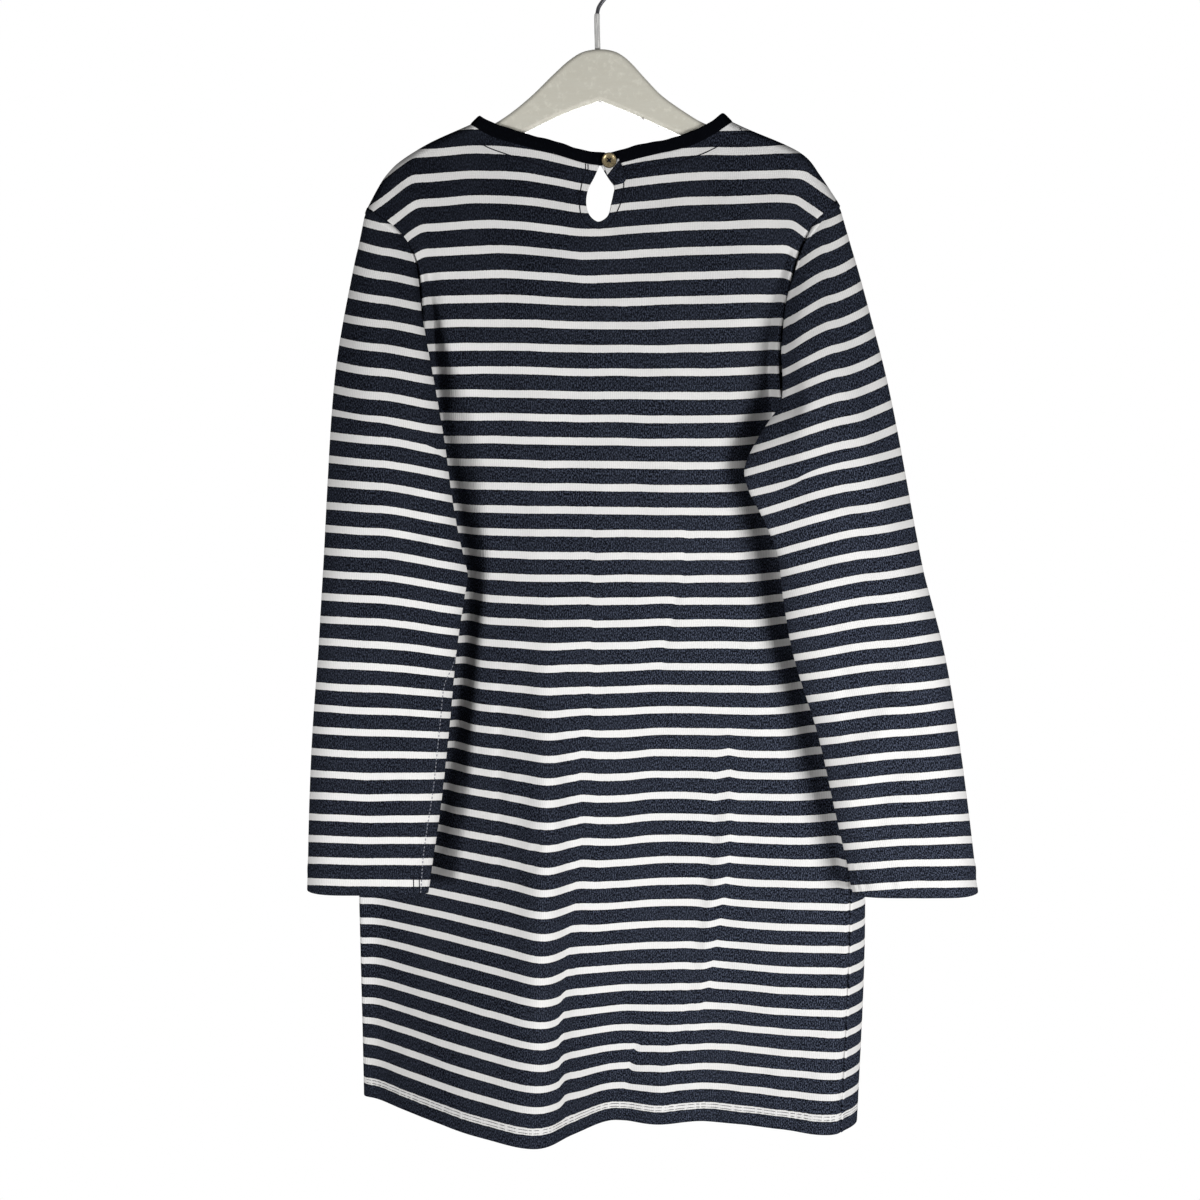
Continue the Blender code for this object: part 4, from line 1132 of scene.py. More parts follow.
def sleeve_cloth(grid, side):
    """Stripes counted down from the first white one, for a sleeve."""
    pitch, lowest, level_depth, chart = SLEEVE_STRIPES[side]
    eye, eye_height = -EYE[1] / MM, EYE[2] / MM
    closer = (eye + level_depth) / (eye + near_side_depth(grid))
    x, z = grid[..., 0] * closer, eye_height + (grid[..., 2] - eye_height) * closer
    n = (z - lowest) / pitch
    stripes = [row[0] for row in chart]
    for _ in range(3):
        (xo, do), (xm, dm), (xi, di) = (
            [np.interp(n, stripes, [row[k][m] for row in chart]) for m in (0, 1)]
            for k in (1, 2, 3))
        to_outer = np.clip((x - xm) / (xo - xm), 0, 1.5)
        to_inner = np.clip((x - xm) / (xi - xm), 0, 2.4)
        bend = np.minimum(to_inner, 1) ** 1.3 + 1.15 * np.maximum(to_inner - 1, 0)
        off = dm + (do - dm) * to_outer ** 1.3 + (di - dm) * bend
        n = (z - off - lowest) / pitch
    return 31 - n


left_stripe, right_stripe = sleeve_cloth(left_grid, "left"), sleeve_cloth(right_grid, "right")
left_sleeve = show("left_sleeve_cloth",
                   build_sheet("left_sleeve_cloth", left_grid, cloth_map(left_grid, left_stripe),
                               closed=True), knit_cloth, "sleeve_left")
right_sleeve = show("right_sleeve_cloth",
                    build_sheet("right_sleeve_cloth", right_grid,
                                cloth_map(right_grid, right_stripe), closed=True),
                    knit_cloth, "sleeve_right")
for sleeve in (left_sleeve, right_sleeve):
    thicken(sleeve, CLOTH_WALL)
    settle(sleeve)
print("stripes down the left sleeve:", round(float(np.ptp(left_stripe))))

# %% [markdown]
# ## Neck binding
# The neck is bound with a strip of plain navy jersey, folded so that its edges are
# hidden, and sewn on so that it stands up past the neck seam. Over the shoulders it
# turns from the back to the front and its fold makes a little peak. A soft oblong
# section is carried along the neck edge. The strip leans where it turns over.

# %% Binding strip
BINDING_WIDTH, BINDING_WALL, BINDING_START = 9.5, 2.2, -.4
LEFT_END, RIGHT_END = 2.4, 3.5
NECK_COLUMNS = 12
coarse = [NECK_START, NECK_START + NECK_TURN]
coarse += [coarse[1] + (1 - 2 * coarse[1]) * k / NECK_COLUMNS for k in range(1, NECK_COLUMNS)]
coarse += [1 - coarse[1], 1 - NECK_START]
HALF_NECK = len(coarse) // 2


def neck_route():
    """The neck edge as (panel, share) from the keyhole round to the keyhole."""
    return ([(back_shape, u) for u in reversed(coarse[:HALF_NECK + 1])]
            + [(front_shape, u) for u in coarse[1:-1]]
            + [(back_shape, u) for u in reversed(coarse[HALF_NECK:])])


def neck_edge(fine=10):
    """Points of the neck edge, and the way the binding stands, at fine steps."""
    route = neck_route()
    edge = np.array([shape.yoke([u], 0)[0] for shape, u in route])
    inner = np.array([shape.yoke([u], .02)[0] for shape, u in route])
    edge[0, 0], edge[-1, 0] = LEFT_END, RIGHT_END
    corners = {HALF_NECK: 1, len(edge) - 1 - HALF_NECK: -1}
    ups = []
    for k in range(len(edge)):
        along = edge[min(k + 1, len(edge) - 1)] - edge[max(k - 1, 0)]
        along = unit(along * [1, 0, 1])
        up = (edge[k] - inner[k]) * [1, 0, 1]
        up = unit(up - along * (up @ along))
        ups.append(np.array([.72 * corners[k], 0, .69]) if k in corners else up)
    points, stand = [], []
    for k in range(len(edge) - 1):
        (shape_a, a), (shape_b, b) = route[k], route[k + 1]
        shape = shape_a if k not in corners else shape_b
        for t in np.arange(fine) / fine:
            points.append(shape.yoke([a + (b - a) * t], 0)[0])
            turn = t * t * (3 - 2 * t)
            stand.append(unit(ups[k] + (ups[k + 1] - ups[k]) * turn))
    points.append(edge[-1])
    stand.append(ups[-1])
    points = np.array(points)
    points[:fine, 0] = np.linspace(LEFT_END, points[fine, 0], fine, endpoint=False)
    points[-fine:, 0] = np.linspace(points[-fine - 1, 0], RIGHT_END, fine + 1)[1:]
    return points, np.array(stand), [k * fine for k in corners]


def binding_grid(around=20):
    points, stand, corners = neck_edge()
    along = unit(np.gradient(points, axis=0))
    thick = unit(np.cross(along, stand))
    length = tape(points)
    angle = np.arange(around + 1) * 2 * math.pi / around
    up = np.sign(np.cos(angle)) * np.abs(np.cos(angle)) ** .45
    out = np.sign(np.sin(angle)) * np.abs(np.sin(angle)) ** .55
    wave = .25 * np.sin(length * .16 + 1) + .15 * np.sin(length * .43)
    width = BINDING_WIDTH + wave
    mid = (width + BINDING_START) / 2
    half = (width - BINDING_START) / 2
    wall = BINDING_WALL / 2 * (1 + .08 * np.sin(length * .31))
    grid = (points[:, None] + stand[:, None] * (mid[:, None] + half[:, None] * up)[..., None]
            + thick[:, None] * (wall[:, None] * out)[..., None])
    uv = np.stack([length[:, None].repeat(around + 1, 1) * MM,
                   (angle / (2 * math.pi) * 24)[None].repeat(len(points), 0) * MM], -1)
    return grid.transpose(1, 0, 2), uv.transpose(1, 0, 2), length[-1]


def close_tube(mesh):
    """Joins a grid's first and last rows and fills its two ends."""
    bm = bmesh.new()
    bm.from_mesh(mesh)
    bmesh.ops.remove_doubles(bm, verts=bm.verts, dist=1e-6)
    bmesh.ops.holes_fill(bm, edges=[e for e in bm.edges if e.is_boundary], sides=0)
    bmesh.ops.recalc_face_normals(bm, faces=bm.faces)
    bm.to_mesh(mesh)
    bm.free()
    mesh.shade_smooth()
    return mesh


def binding_knit():
    knit = Finish("binding knit")
    where = knit.cloth()
    u, v, _ = knit.split(where)
    ribs = (u * (2 * math.pi / .0012)
            + knit.noise(knit.stretch(where, (120.0, 40.0, 0.0))) * 5.0).sum('SINE') * .5 + .5
    fibre = knit.noise(knit.stretch(where, (1400.0, 700.0, 0.0)), detail=3.0)
    broad = knit.noise(knit.stretch(where, (30.0, 60.0, 0.0)))
    # painted shade: the binding is darker in the grooves between its ribs
    colour = knit.blend(ribs * .6, tone(6, 7, 10), tone(13, 14, 19))
    colour = knit.blend(knit.ramp(fibre, .56, .74) * .5, colour, tone(24, 27, 35))
    colour = knit.blend(knit.ramp(broad, .5, .8) * .3, colour, tone(18, 20, 27))
    knit.set(Base_Color=colour, Roughness=.95,
             Normal=knit.bump(ribs * .6 + fibre * .5, .0003, .6),
             Specular_IOR_Level=.0)
    return knit.material


binding_points, binding_uv, binding_length = binding_grid()
binding_mesh = close_tube(build_sheet("binding_strip", binding_points, binding_uv))
binding = show("binding_strip", binding_mesh, binding_knit(), "neck_binding")
print("binding", round(binding_length), "mm round the neck")

# %% [markdown]
# ## The keyhole's turned edge
# The slash is faced: its raw edge is turned under, so that it ends in a soft roll.
# A thin roll of the same knit follows the keyhole's outline. At the upper right
# the facing has sprung out as a small folded flap, which shows its own stripes at
# a slant.


# %% Points on the finished cloth
def surface_of(*pieces):
    """Search trees of the pieces' outsides, tried in order."""
    graph = bpy.context.evaluated_depsgraph_get()
    return [BVHTree.FromObject(piece, graph) for piece in pieces]


def on_cloth(trees, x, z, from_back=True):
    """Point in mm and way out of the first cloth met at (x, z)."""
    way = Vector((0, 1 if from_back else -1, 0))
    start = Vector((x * MM, -.4 * way.y, z * MM))
    best = None
    for tree in trees:
        place, normal, _, distance = tree.ray_cast(start, way)
        if place is not None and (best is None or distance < best[2]):
            best = np.array(place) / MM, np.array(normal), distance
    if best is None:
        return None
    out = best[1] if best[1][1] * way.y < 0 else -best[1]
    return best[0], out


def tube_grid(points, radius, outs, around=10):
    """A roll along points: rows go round it and columns go along it."""
    along = unit(np.gradient(points, axis=0))
    side = unit(np.cross(along, outs))
    angle = np.arange(around + 1) * 2 * math.pi / around
    ring = (side[None] * np.cos(angle)[:, None, None] + outs[None] * np.sin(angle)[:, None, None])
    return points[None] + ring * np.asarray(radius)[None, :, None]


BACK_AT_KEYHOLE = -8.9
back_trees = surface_of(back)
edge_line = keyhole_line.at(np.linspace(1.2, keyhole_line.length - 1.2, 90))
middle = edge_line.mean(0)
outer_edge = edge_line + unit(edge_line - middle) * .9
edge_points, edge_outs = [], []
for x, z in outer_edge:
    found = on_cloth(back_trees, x, z) or (np.array([x, BACK_AT_KEYHOLE, z]), None)
    edge_points.append(found[0] + [0, CLOTH_WALL / 2, 0])
    edge_outs.append([0, -1.0, 0])
edge_points, edge_outs = np.array(edge_points), np.array(edge_outs)
kernel = np.ones(7) / 7
edge_points[3:-3, 1] = np.convolve(edge_points[:, 1], kernel, "valid")
edge_points[:, [0, 2]] = edge_line + unit(edge_line - middle) * .35
roll = tube_grid(edge_points, np.full(len(edge_points), 1.0), edge_outs)
roll_uv = np.stack([roll[..., 0] * MM, -body_cloth(roll) * PITCH * MM], -1)
show("keyhole_edge", close_tube(build_sheet("keyhole_edge", roll, roll_uv)), knit_cloth)
print("keyhole edge", round(float(Ruler(edge_line).length)), "mm round")

# %% The flap of facing
FLAP = (
    # left and right edges from the top down: (x, height off the cloth, z)
    ((2.6, -.5, -160.6), (14.2, -.4, -158.6)),
    ((3.6, -.2, -165.0), (16.6, .4, -163.4)),
    ((5.2, .7, -169.6), (18.8, 1.3, -168.6)),
    ((8.2, 1.0, -174.2), (19.8, 1.5, -173.4)),
    ((11.0, .8, -178.4), (17.6, 1.0, -176.6)))


def flap_grid(columns=22, rows=30):
    left = Ruler([row[0] for row in FLAP]).share(np.linspace(0, 1, rows))
    right = Ruler([row[1] for row in FLAP]).share(np.linspace(0, 1, rows))
    share = np.linspace(0, 1, columns)[None, :, None]
    flat = left[:, None] * (1 - share) + right[:, None] * share
    grid = flat.copy()
    bow = np.sin(share[..., 0] * math.pi) * .5 * np.linspace(0, 1, rows)[:, None]
    for r in range(rows):
        for c in range(columns):
            found = on_cloth(back_trees, flat[r, c, 0], flat[r, c, 2])
            near = found and abs(found[0][1] - BACK_AT_KEYHOLE) < 3
            base = found[0][1] if near else BACK_AT_KEYHOLE - .05
            edge = min(c, columns - 1 - c, r + 2, rows - 1 - r) / 2.5
            grid[r, c, 1] = base - .55 - (flat[r, c, 1] + bow[r, c]) * min(edge, 1) ** .5
    return grid


flap_points = flap_grid()
slant = (flap_points[..., 0] - 9.0) * .62 - (flap_points[..., 2] + 165.5) * .507 + 2.2
flap_uv = np.stack([(flap_points[..., 2] * .775 + flap_points[..., 0] * .634) * MM,
                    -slant * MM], -1)
flap = show("keyhole_flap", build_sheet("keyhole_flap", flap_points, flap_uv), knit_cloth)
thicken(flap, .9)
settle(flap)
print("flap", round(float(np.ptp(flap_points[..., 0]))), "mm wide")

# %% [markdown]
# ## The button
# A small four-hole button of antiqued brass is sewn to the right end of the
# binding. It is a turned part: half its section, spun once round. The holes are
# cut with four pins. The thread is two strands each way, crossed.


# %% Turned button
def to_back(at):
    """Turns a piece made lying flat so that it faces the back, at a place in mm."""
    return Matrix.Translation(Vector(at) * MM) @ Matrix.Rotation(math.pi / 2, 4, 'X')


BUTTON_AT = (7.0, -10.9, -160.0)
BUTTON_SECTION = ((0, .55), (2.6, .55), (3.5, .62), (4.15, .95), (4.6, 1.2), (5.05, 1.3),
                  (5.5, 1.18), (5.78, .82), (5.85, .3), (5.8, -.5), (5.45, -1.05), (4.9, -1.3),
                  (0, -1.3))
HOLE_TURNS, HOLE_PITCH, HOLE_WIDTH = (40, 130, 220, 310), 3.2, 1.3


def turned_button():
    bm = bmesh.new()
    line = [bm.verts.new((x * MM, 0, z * MM)) for x, z in BUTTON_SECTION]
    edges = [bm.edges.new(pair) for pair in zip(line, line[1:])]
    bmesh.ops.spin(bm, geom=line + edges, cent=(0, 0, 0), axis=(0, 0, 1), angle=math.tau,
                   steps=72, use_merge=True)
    bmesh.ops.remove_doubles(bm, verts=bm.verts, dist=1e-7)
    bmesh.ops.recalc_face_normals(bm, faces=bm.faces)
    return to_mesh(bm, "brass_button")


def pins():
    bm = bmesh.new()
    for turn in HOLE_TURNS:
        pin = bmesh.ops.create_cone(bm, cap_ends=True, segments=20, radius1=HOLE_WIDTH / 2 * MM,
                                    radius2=HOLE_WIDTH / 2 * MM, depth=.006)
        away = Matrix.Rotation(math.radians(turn), 4, 'Z') @ Vector((HOLE_PITCH / 2 * MM, 0, 0))
        bmesh.ops.translate(bm, verts=pin["verts"], vec=away)
    return to_mesh(bm, "pins")


def antique_brass():
    brass = Finish("antique brass")
    at = brass.place()
    patina = brass.noise(at, 900.0, 4.0, .6)
    fine = brass.noise(at, 4200.0, 2.0)
    turned = brass.node("VectorMath", {"operation": 'DISTANCE'},
                        {0: at, 1: tuple(Vector(BUTTON_AT) * MM)}, out=1)
    rim = brass.ramp(turned, .0047, .0060)
    dish = 1 - brass.ramp(turned, .0022, .0040)
    # painted shade on the outer rim, where it rolls away, and a little in the dish's hollow; the
    # patina noise is the brass's own darkening
    dark = brass.ramp(patina, .40, .62) * .5 + rim * .6 + dish * .1
    colour = brass.blend(dark, tone(124, 112, 86), tone(34, 29, 21))
    brass.set(Base_Color=colour, Metallic=1.0, Roughness=brass.ramp(patina, .3, .8) * .22 + .27,
              Normal=brass.bump(patina * .7 + fine * .3, .00008, .5))
    return brass.material


button = show("brass_button", turned_button(), antique_brass(), "neck_button")
cut_out(button, "holes", pins())
button.data.transform(to_back(BUTTON_AT))
button.data.shade_smooth()
button.data.set_sharp_from_angle(angle=math.radians(35))
print("button", round(2 * max(x for x, _ in BUTTON_SECTION), 1), "mm across")

# %% [markdown]
# ## Thread
# Every stitch is a small capsule of thread lying along its row. Hundreds of them
# share one shape with thirty faces, joined into one mesh for each colour of
# thread. The rows are placed on the finished cloth, so they follow its folds.


# %% Stitches
def thread(name, light, dark):
    finish = Finish(name)
    at = finish.place()
    twist = finish.noise(at, 2600.0)
    finish.set(Base_Color=finish.blend(finish.ramp(twist, .35, .65), dark, light), Roughness=.9,
               Specular_IOR_Level=.05, Normal=finish.bump(twist, .0001, .5))
    return finish.material


navy_thread = thread("navy thread", tone(26, 28, 38), tone(9, 10, 15))
grey_thread = thread("grey thread", tone(150, 152, 160), tone(92, 96, 108))
seed = bmesh.new()
bmesh.ops.create_uvsphere(seed, u_segments=6, v_segments=5, radius=1.0)
stitch_seed = to_mesh(seed, "stitch_seed")


def add_stitch(bm, start, end, out, radius):
    """One stitch from start to end in mm, lying on the cloth."""
    start, end = np.asarray(start, float), np.asarray(end, float)
    along = unit(end - start)
    side = unit(np.cross(out, along))
    out = np.cross(along, side)
    half = np.linalg.norm(end - start) / 2
    turn = np.eye(4)
    turn[:3, 0], turn[:3, 1], turn[:3, 2] = (side * radius * 1.15, out * radius, along * half)
    turn[:3, 3] = (start + end) / 2
    first = len(bm.verts)
    bm.from_mesh(stitch_seed)
    bm.verts.ensure_lookup_table()
    matrix = Matrix(turn.tolist())
    bmesh.ops.transform(bm, matrix=Matrix.Scale(MM, 4) @ matrix, verts=bm.verts[first:])


def add_row(bm, points, outs, stitch, space, radius=.28, sink=.1):
    """A row of stitches along points on the cloth, in mm."""
    points, outs = np.asarray(points, float), np.asarray(outs, float)
    reach = tape(points)
    count = max(int(reach[-1] / (stitch + space)), 1)

    def at(distance):
        return (np.array([np.interp(distance, reach, points[:, k]) for k in range(3)]),
                unit(np.array([np.interp(distance, reach, outs[:, k]) for k in range(3)])))

    for k in range(count):
        begin = (k + .5) * reach[-1] / count - stitch / 2
        (a, out_a), (b, out_b) = at(max(begin, 0)), at(min(begin + stitch, reach[-1]))
        out = unit(out_a + out_b)
        add_stitch(bm, a - out * sink, b - out * sink, out, radius)


def row_across(grid, z, inside, first_row=0):
    """Points of a grid at one height, read down each column, with the way out."""
    out = grid_normals(grid, inside)
    part = slice(first_row, None)
    heights = -grid[part, :, 2]
    points, ways = [], []
    for c in range(grid.shape[1]):
        points.append([np.interp(-z, heights[:, c], grid[part, c, k]) for k in range(3)])
        ways.append([np.interp(-z, heights[:, c], out[part, c, k]) for k in range(3)])
    return np.array(points), unit(np.array(ways))


def rows_on_cloth(trees, line, steps=60, lift=0.0):
    """A line of (x, z) laid on the first cloth met from the back."""
    points, outs = [], []
    for x, z in Ruler(line).share(np.linspace(0, 1, steps)):
        found = on_cloth(trees, x, z)
        if found:
            points.append(found[0] + found[1] * lift)
            outs.append(found[1])
    return np.array(points), np.array(outs)


def finish_thread(bm, name, material):
    mesh = to_mesh(bm, name)
    mesh.shade_smooth()
    return show(name, mesh, material)


print("one stitch:", len(stitch_seed.polygons), "faces")

# %% [markdown]
# The dress has twin rows at the hem and the cuffs, a row round the keyhole and
# along the facing inside the neck, and a few loose ends at the shoulders. Where a
# row is long and flat its stitches touch, so it reads as one fine line.

# %% Rows in navy thread
LOOSE_ENDS = (
    # place, turn in degrees
    ((107.2, -136.4), 25), ((107.2, -136.4), -55), ((-103.4, -137.2), 70))
CUFF_TACKS = (-150.4, -146.0)
FIRST_HEM_ROW, FIRST_CUFF_ROW = {"back": 200, "front": 140}, 90
dark_rows = bmesh.new()
for side, grid in (("back", back_grid), ("front", front_grid)):
    for z in HEM_STITCHES:
        points, ways = row_across(grid, z, (0, 30, z), FIRST_HEM_ROW[side])
        add_row(dark_rows, points + ways * CLOTH_WALL / 2, ways, 3.6, -1.7, radius=.24)
for grid in (left_grid, right_grid):
    for up in CUFF_STITCHES:
        points, ways = row_across(grid, CUFF_Z + up, grid.mean(axis=1, keepdims=True),
                                  FIRST_CUFF_ROW)
        add_row(dark_rows, points + ways * CLOTH_WALL / 2, ways, 2.5, .3, radius=.26)
KEYHOLE_ROWS = (
    ((-11.1, -158.6), (-11.0, -168.4)), ((-9.2, -159.2), (-9.1, -168.8)),
    ((-11.0, -168.4), (-13.6, -176), (-15.2, -184), (-15.8, -192), (-14.8, -200), (-11.5, -206.5),
     (-6, -210), (0, -211), (5.5, -209), (10, -203.5), (13.2, -198), (16, -191.5), (17.6, -184.5),
     (18.3, -177), (17.6, -172)))
FACING_ROWS = (
    ((-93, -146.5), (-84, -151), (-71.8, -155.2), (-56, -160.5), (-38, -166), (-24, -170)),
    ((92, -148.5), (84, -152.6), (77.9, -155.2), (64, -159.8), (48.2, -163.4), (30, -166.6),
     (14, -167.8)))
for line in KEYHOLE_ROWS + FACING_ROWS:
    points, ways = rows_on_cloth(back_trees, line)
    add_row(dark_rows, points, ways, 3.6, -1.9, radius=.42, sink=0)
for (x, z), turn in LOOSE_ENDS:
    step = np.array([math.cos(math.radians(turn)), math.sin(math.radians(turn))]) * 2.6
    points, ways = rows_on_cloth(back_trees, ((x - step[0], z - step[1]), (x, z),
                                              (x + step[0], z + step[1])), 8, lift=.1)
    add_row(dark_rows, points, ways, 4.6, .2, radius=.38)
print("navy stitches so far:", len(dark_rows.faces) // len(stitch_seed.polygons))

# %% The underarm seam, the cuff's tacks and the button's thread
pale_rows = bmesh.new()
left_trees = surface_of(left_sleeve)
UNDERARM_SEAM = ((-107.6, -500), (-112, -528), (-116.4, -550.1), (-123.7, -566.9), (-126.4, -589.5),
                 (-130.0, -621.1), (-133.7, -652.2), (-138.9, -683.4), (-142.5, -707.4),
                 (-144.4, -728.2), (-145.4, -739.5))
points, ways = rows_on_cloth(left_trees, UNDERARM_SEAM, 120)
add_row(pale_rows, points, ways, 2.2, 1.0, radius=.42, sink=0)
for x in CUFF_TACKS:
    points, ways = rows_on_cloth(left_trees, ((x, -722), (x - .1, -730), (x - .2, -739.5)), 12)
    add_row(dark_rows, points, ways, 3.2, -1.4, radius=.42, sink=0)
knot = bmesh.new()
for turn, lift in zip(HOLE_TURNS[:2], (.65, .9)):
    for aside in (-.3, .3):
        r = math.radians(turn)
        way, side = Vector((math.cos(r), math.sin(r), 0)), Vector((-math.sin(r), math.cos(r), 0))
        a, b = (side * aside + way * reach for reach in (-1.8, 1.8))
        add_stitch(knot, (a.x, a.y, lift), (b.x, b.y, lift), (0, 0, 1), .42)
knot.transform(to_back(BUTTON_AT))
finish_thread(knot, "button_thread", navy_thread)
dark_stitches = finish_thread(dark_rows, "navy_stitches", navy_thread)
pale_stitches = finish_thread(pale_rows, "underarm_stitches", grey_thread)
stitch_faces = len(dark_stitches.data.polygons) + len(pale_stitches.data.polygons)
print("stitches:", stitch_faces // len(stitch_seed.polygons))

# %% [markdown]
# ## The hanger's board
# A child's hanger is cut from a flat board with a router, its edges rounded, then
# painted. The board starts as one face with the outline's corners, is pulled to
# its thickness, and its rim is bevelled. The notch below the crown is left sharp.

# %% Cut the board
BOARD_THICK, BOARD_ROUND = 12.0, 3.0
BOARD_TOP = ((-155.5, -169), (-145, -160.5), (-129, -151), (-104, -140.5), (-87, -135), (-71, -126),
             (-53, -112), (-36, -96), (-24, -85.5), (-13, -79), (0, -77), (12, -79), (22, -85.5),
             (34, -98), (47, -111), (62, -121.5), (78, -131), (92, -135.5), (110, -140),
             (143, -153.5), (158, -163.5), (161.5, -169), (160, -175), (152, -177.5))
BOARD_LOW_RIGHT = ((152, -177.5), (130, -169.5), (104, -159), (60, -140), (28, -126), (0, -115))
BOARD_LOW_LEFT = ((0, -115), (-28, -125), (-60, -140), (-104, -161), (-149, -182), (-157, -182),
                  (-160, -176), (-155.5, -169))


def board_outline(gap=2.6):
    corners = []
    for run in (BOARD_TOP, BOARD_LOW_RIGHT, BOARD_LOW_LEFT):
        line = Ruler(run)
        count = int(line.length / gap)
        corners += [tuple(p) for p in line.share(np.arange(count) / count)]
    return corners


def cut_board():
    bm = plate(board_outline(), -BOARD_THICK / 2, BOARD_THICK)
    rim = [edge for edge in bm.edges if abs(edge.verts[0].co.y - edge.verts[1].co.y) < 1e-9]
    bmesh.ops.bevel(bm, geom=rim, offset=BOARD_ROUND * MM, segments=5, profile=0.5,
                    affect='EDGES', material=-1, clamp_overlap=False)
    flats = [face for face in bm.faces if len(face.verts) > 50]
    for flat in flats:
        bmesh.ops.inset_individual(bm, faces=[flat], thickness=.4 * MM, depth=0)
    mesh = to_mesh(bm, "painted_board")
    mesh.shade_smooth()
    return mesh


# %% [markdown]
# The paint is a warm grey white, brushed along the board. It is thin on the
# rounded edges, where the wood shows through as a darker line, and it is chipped
# in a few places. The chips are listed, each with a torn outline.

# %% Painted wood
CHIPS = (
    # x, y, z and size in mm
    (29.5, 0, -86.5, 2.2), (33.0, 0, -127.3, 2.6), (0, 0, -115.2, 2.0), (48.5, 0, -111.6, 1.4),
    (-14, 0, -79.2, 1.1), (-61, 0, -140.4, 1.3), (-47, 0, -107.2, 1.0), (84, 0, -150.0, 1.6))


def painted_wood():
    paint = Finish("painted wood")
    at = paint.place()
    x, y, z = paint.split(at)
    brushed = paint.noise(paint.stretch(at, (60.0, 900.0, 420.0)), detail=4.0, roughness=.6)
    broad = paint.noise(at, 18.0, 2.0)
    edge = paint.ramp(y.sum('ABSOLUTE'), .0036, .0056)
    wear_and_painted_shade = edge * paint.ramp(paint.noise(at, 260.0, 4.0, .6) + edge * .15, .40, .66)
    chips = None
    for cx, cy, cz, size in CHIPS:
        away = paint.node("VectorMath", {"operation": 'DISTANCE'},
                          {0: paint.stretch(at, (1.0, .35, 1.0)), 1: (cx * MM, cy * MM, cz * MM)},
                          out=1)
        torn = away + (paint.noise(at, 900.0, 3.0) - .5) * (size * .9 * MM)
        chip = 1 - paint.ramp(torn, size * .55 * MM, size * .75 * MM)
        chips = chip if chips is None else chips.sum('MAXIMUM', chip)
    colour = paint.blend(paint.ramp(brushed, .3, .7), tone(235, 232, 219), tone(240, 238, 226))
    colour = paint.blend(paint.ramp(broad, .4, .7) * .3, colour, tone(230, 227, 214))
    colour = paint.blend(edge * .30, colour, tone(168, 164, 150))
    colour = paint.blend(wear_and_painted_shade * .22, colour, tone(136, 130, 112))
    colour = paint.blend(chips, colour, tone(74, 60, 46))
    height = brushed * .5 + broad * .3 - chips * 1.5
    paint.set(Base_Color=colour, Roughness=paint.ramp(brushed, .2, .8) * .12 + .42 + chips * .3,
              Normal=paint.bump(height, .0003, .35), Coat_Weight=.08, Coat_Roughness=.35)
    return paint.material


board = show("painted_board", cut_board(), painted_wood(), "hanger_board")
print("board corners", len(board_outline()), "; faces", len(board.data.polygons))

# %% [markdown]
# ## The hook
# One steel wire is screwed into the crown, leans a little, and is bent round into
# the crook that hangs on the rail. A pale sleeve covers its stem. The wire is a
# curve with a round section; the sleeve is a narrow tube with rolled ends.

# %% Bend the wire
WIRE, CROOK_RADIUS = 3.0, 17.0
STEM_START, STEM_LENGTH, STEM_RADIUS = 11.5, 31.0, 2.15


def hook_route():
    route = [(-1.6, -93), (-1.8, -77), (-2.2, -62), (-2.0, -50), (.8, -43)]
    ring = CROOK_RADIUS + WIRE / 2
    for degrees in range(-55, 216, 15):
        turn = math.radians(degrees)
        route.append((ring * math.cos(turn), -CROOK_RADIUS + ring * math.sin(turn)))
    return route


def round_bar(name, line, radii, around=20):
    """A round bar along a line of (x, z) in the board's middle plane."""
    points = np.column_stack([line[:, 0], np.zeros(len(line)), line[:, 1]])
    outs = np.tile([0.0, -1.0, 0.0], (len(points), 1))
    grid = tube_grid(points, radii, outs, around)
    length = tape(points)
    uv = np.stack(np.broadcast_arrays(length[None] * MM,
                                      (np.arange(around + 1) / around * 9.4 * MM)[:, None]), -1)
    return close_tube(build_sheet(name, grid, uv))


def dark_steel():
    steel = Finish("dark steel")
    at = steel.place()
    drawn = steel.noise(steel.stretch(at, (900.0, 900.0, 120.0)), detail=3.0)
    spots = steel.noise(at, 700.0, 3.0)
    colour = steel.blend(steel.ramp(drawn, .3, .7), tone(46, 46, 50), tone(78, 78, 82))
    colour = steel.blend(steel.ramp(spots, .6, .75) * .5, colour, tone(40, 34, 28))
    steel.set(Base_Color=colour, Metallic=1.0, Roughness=steel.ramp(drawn, .3, .8) * .15 + .25,
              Normal=steel.bump(drawn, .00005, .4))
    return steel.material


def stem_sleeve_finish():
    sleeve = Finish("pale stem sleeve")
    at = sleeve.place()
    streak = sleeve.noise(sleeve.stretch(at, (2200.0, 2200.0, 60.0)), detail=2.0)
    mark = sleeve.noise(at, 500.0, 3.0)
    colour = sleeve.blend(sleeve.ramp(streak, .4, .65), tone(226, 225, 222), tone(176, 176, 176))
    colour = sleeve.blend(sleeve.ramp(mark, .62, .74) * .6, colour, tone(120, 116, 110))
    sleeve.set(Base_Color=colour, Roughness=.38, Coat_Weight=.2, Coat_Roughness=.2,
               Normal=sleeve.bump(streak, .0001, .4))
    return sleeve.material


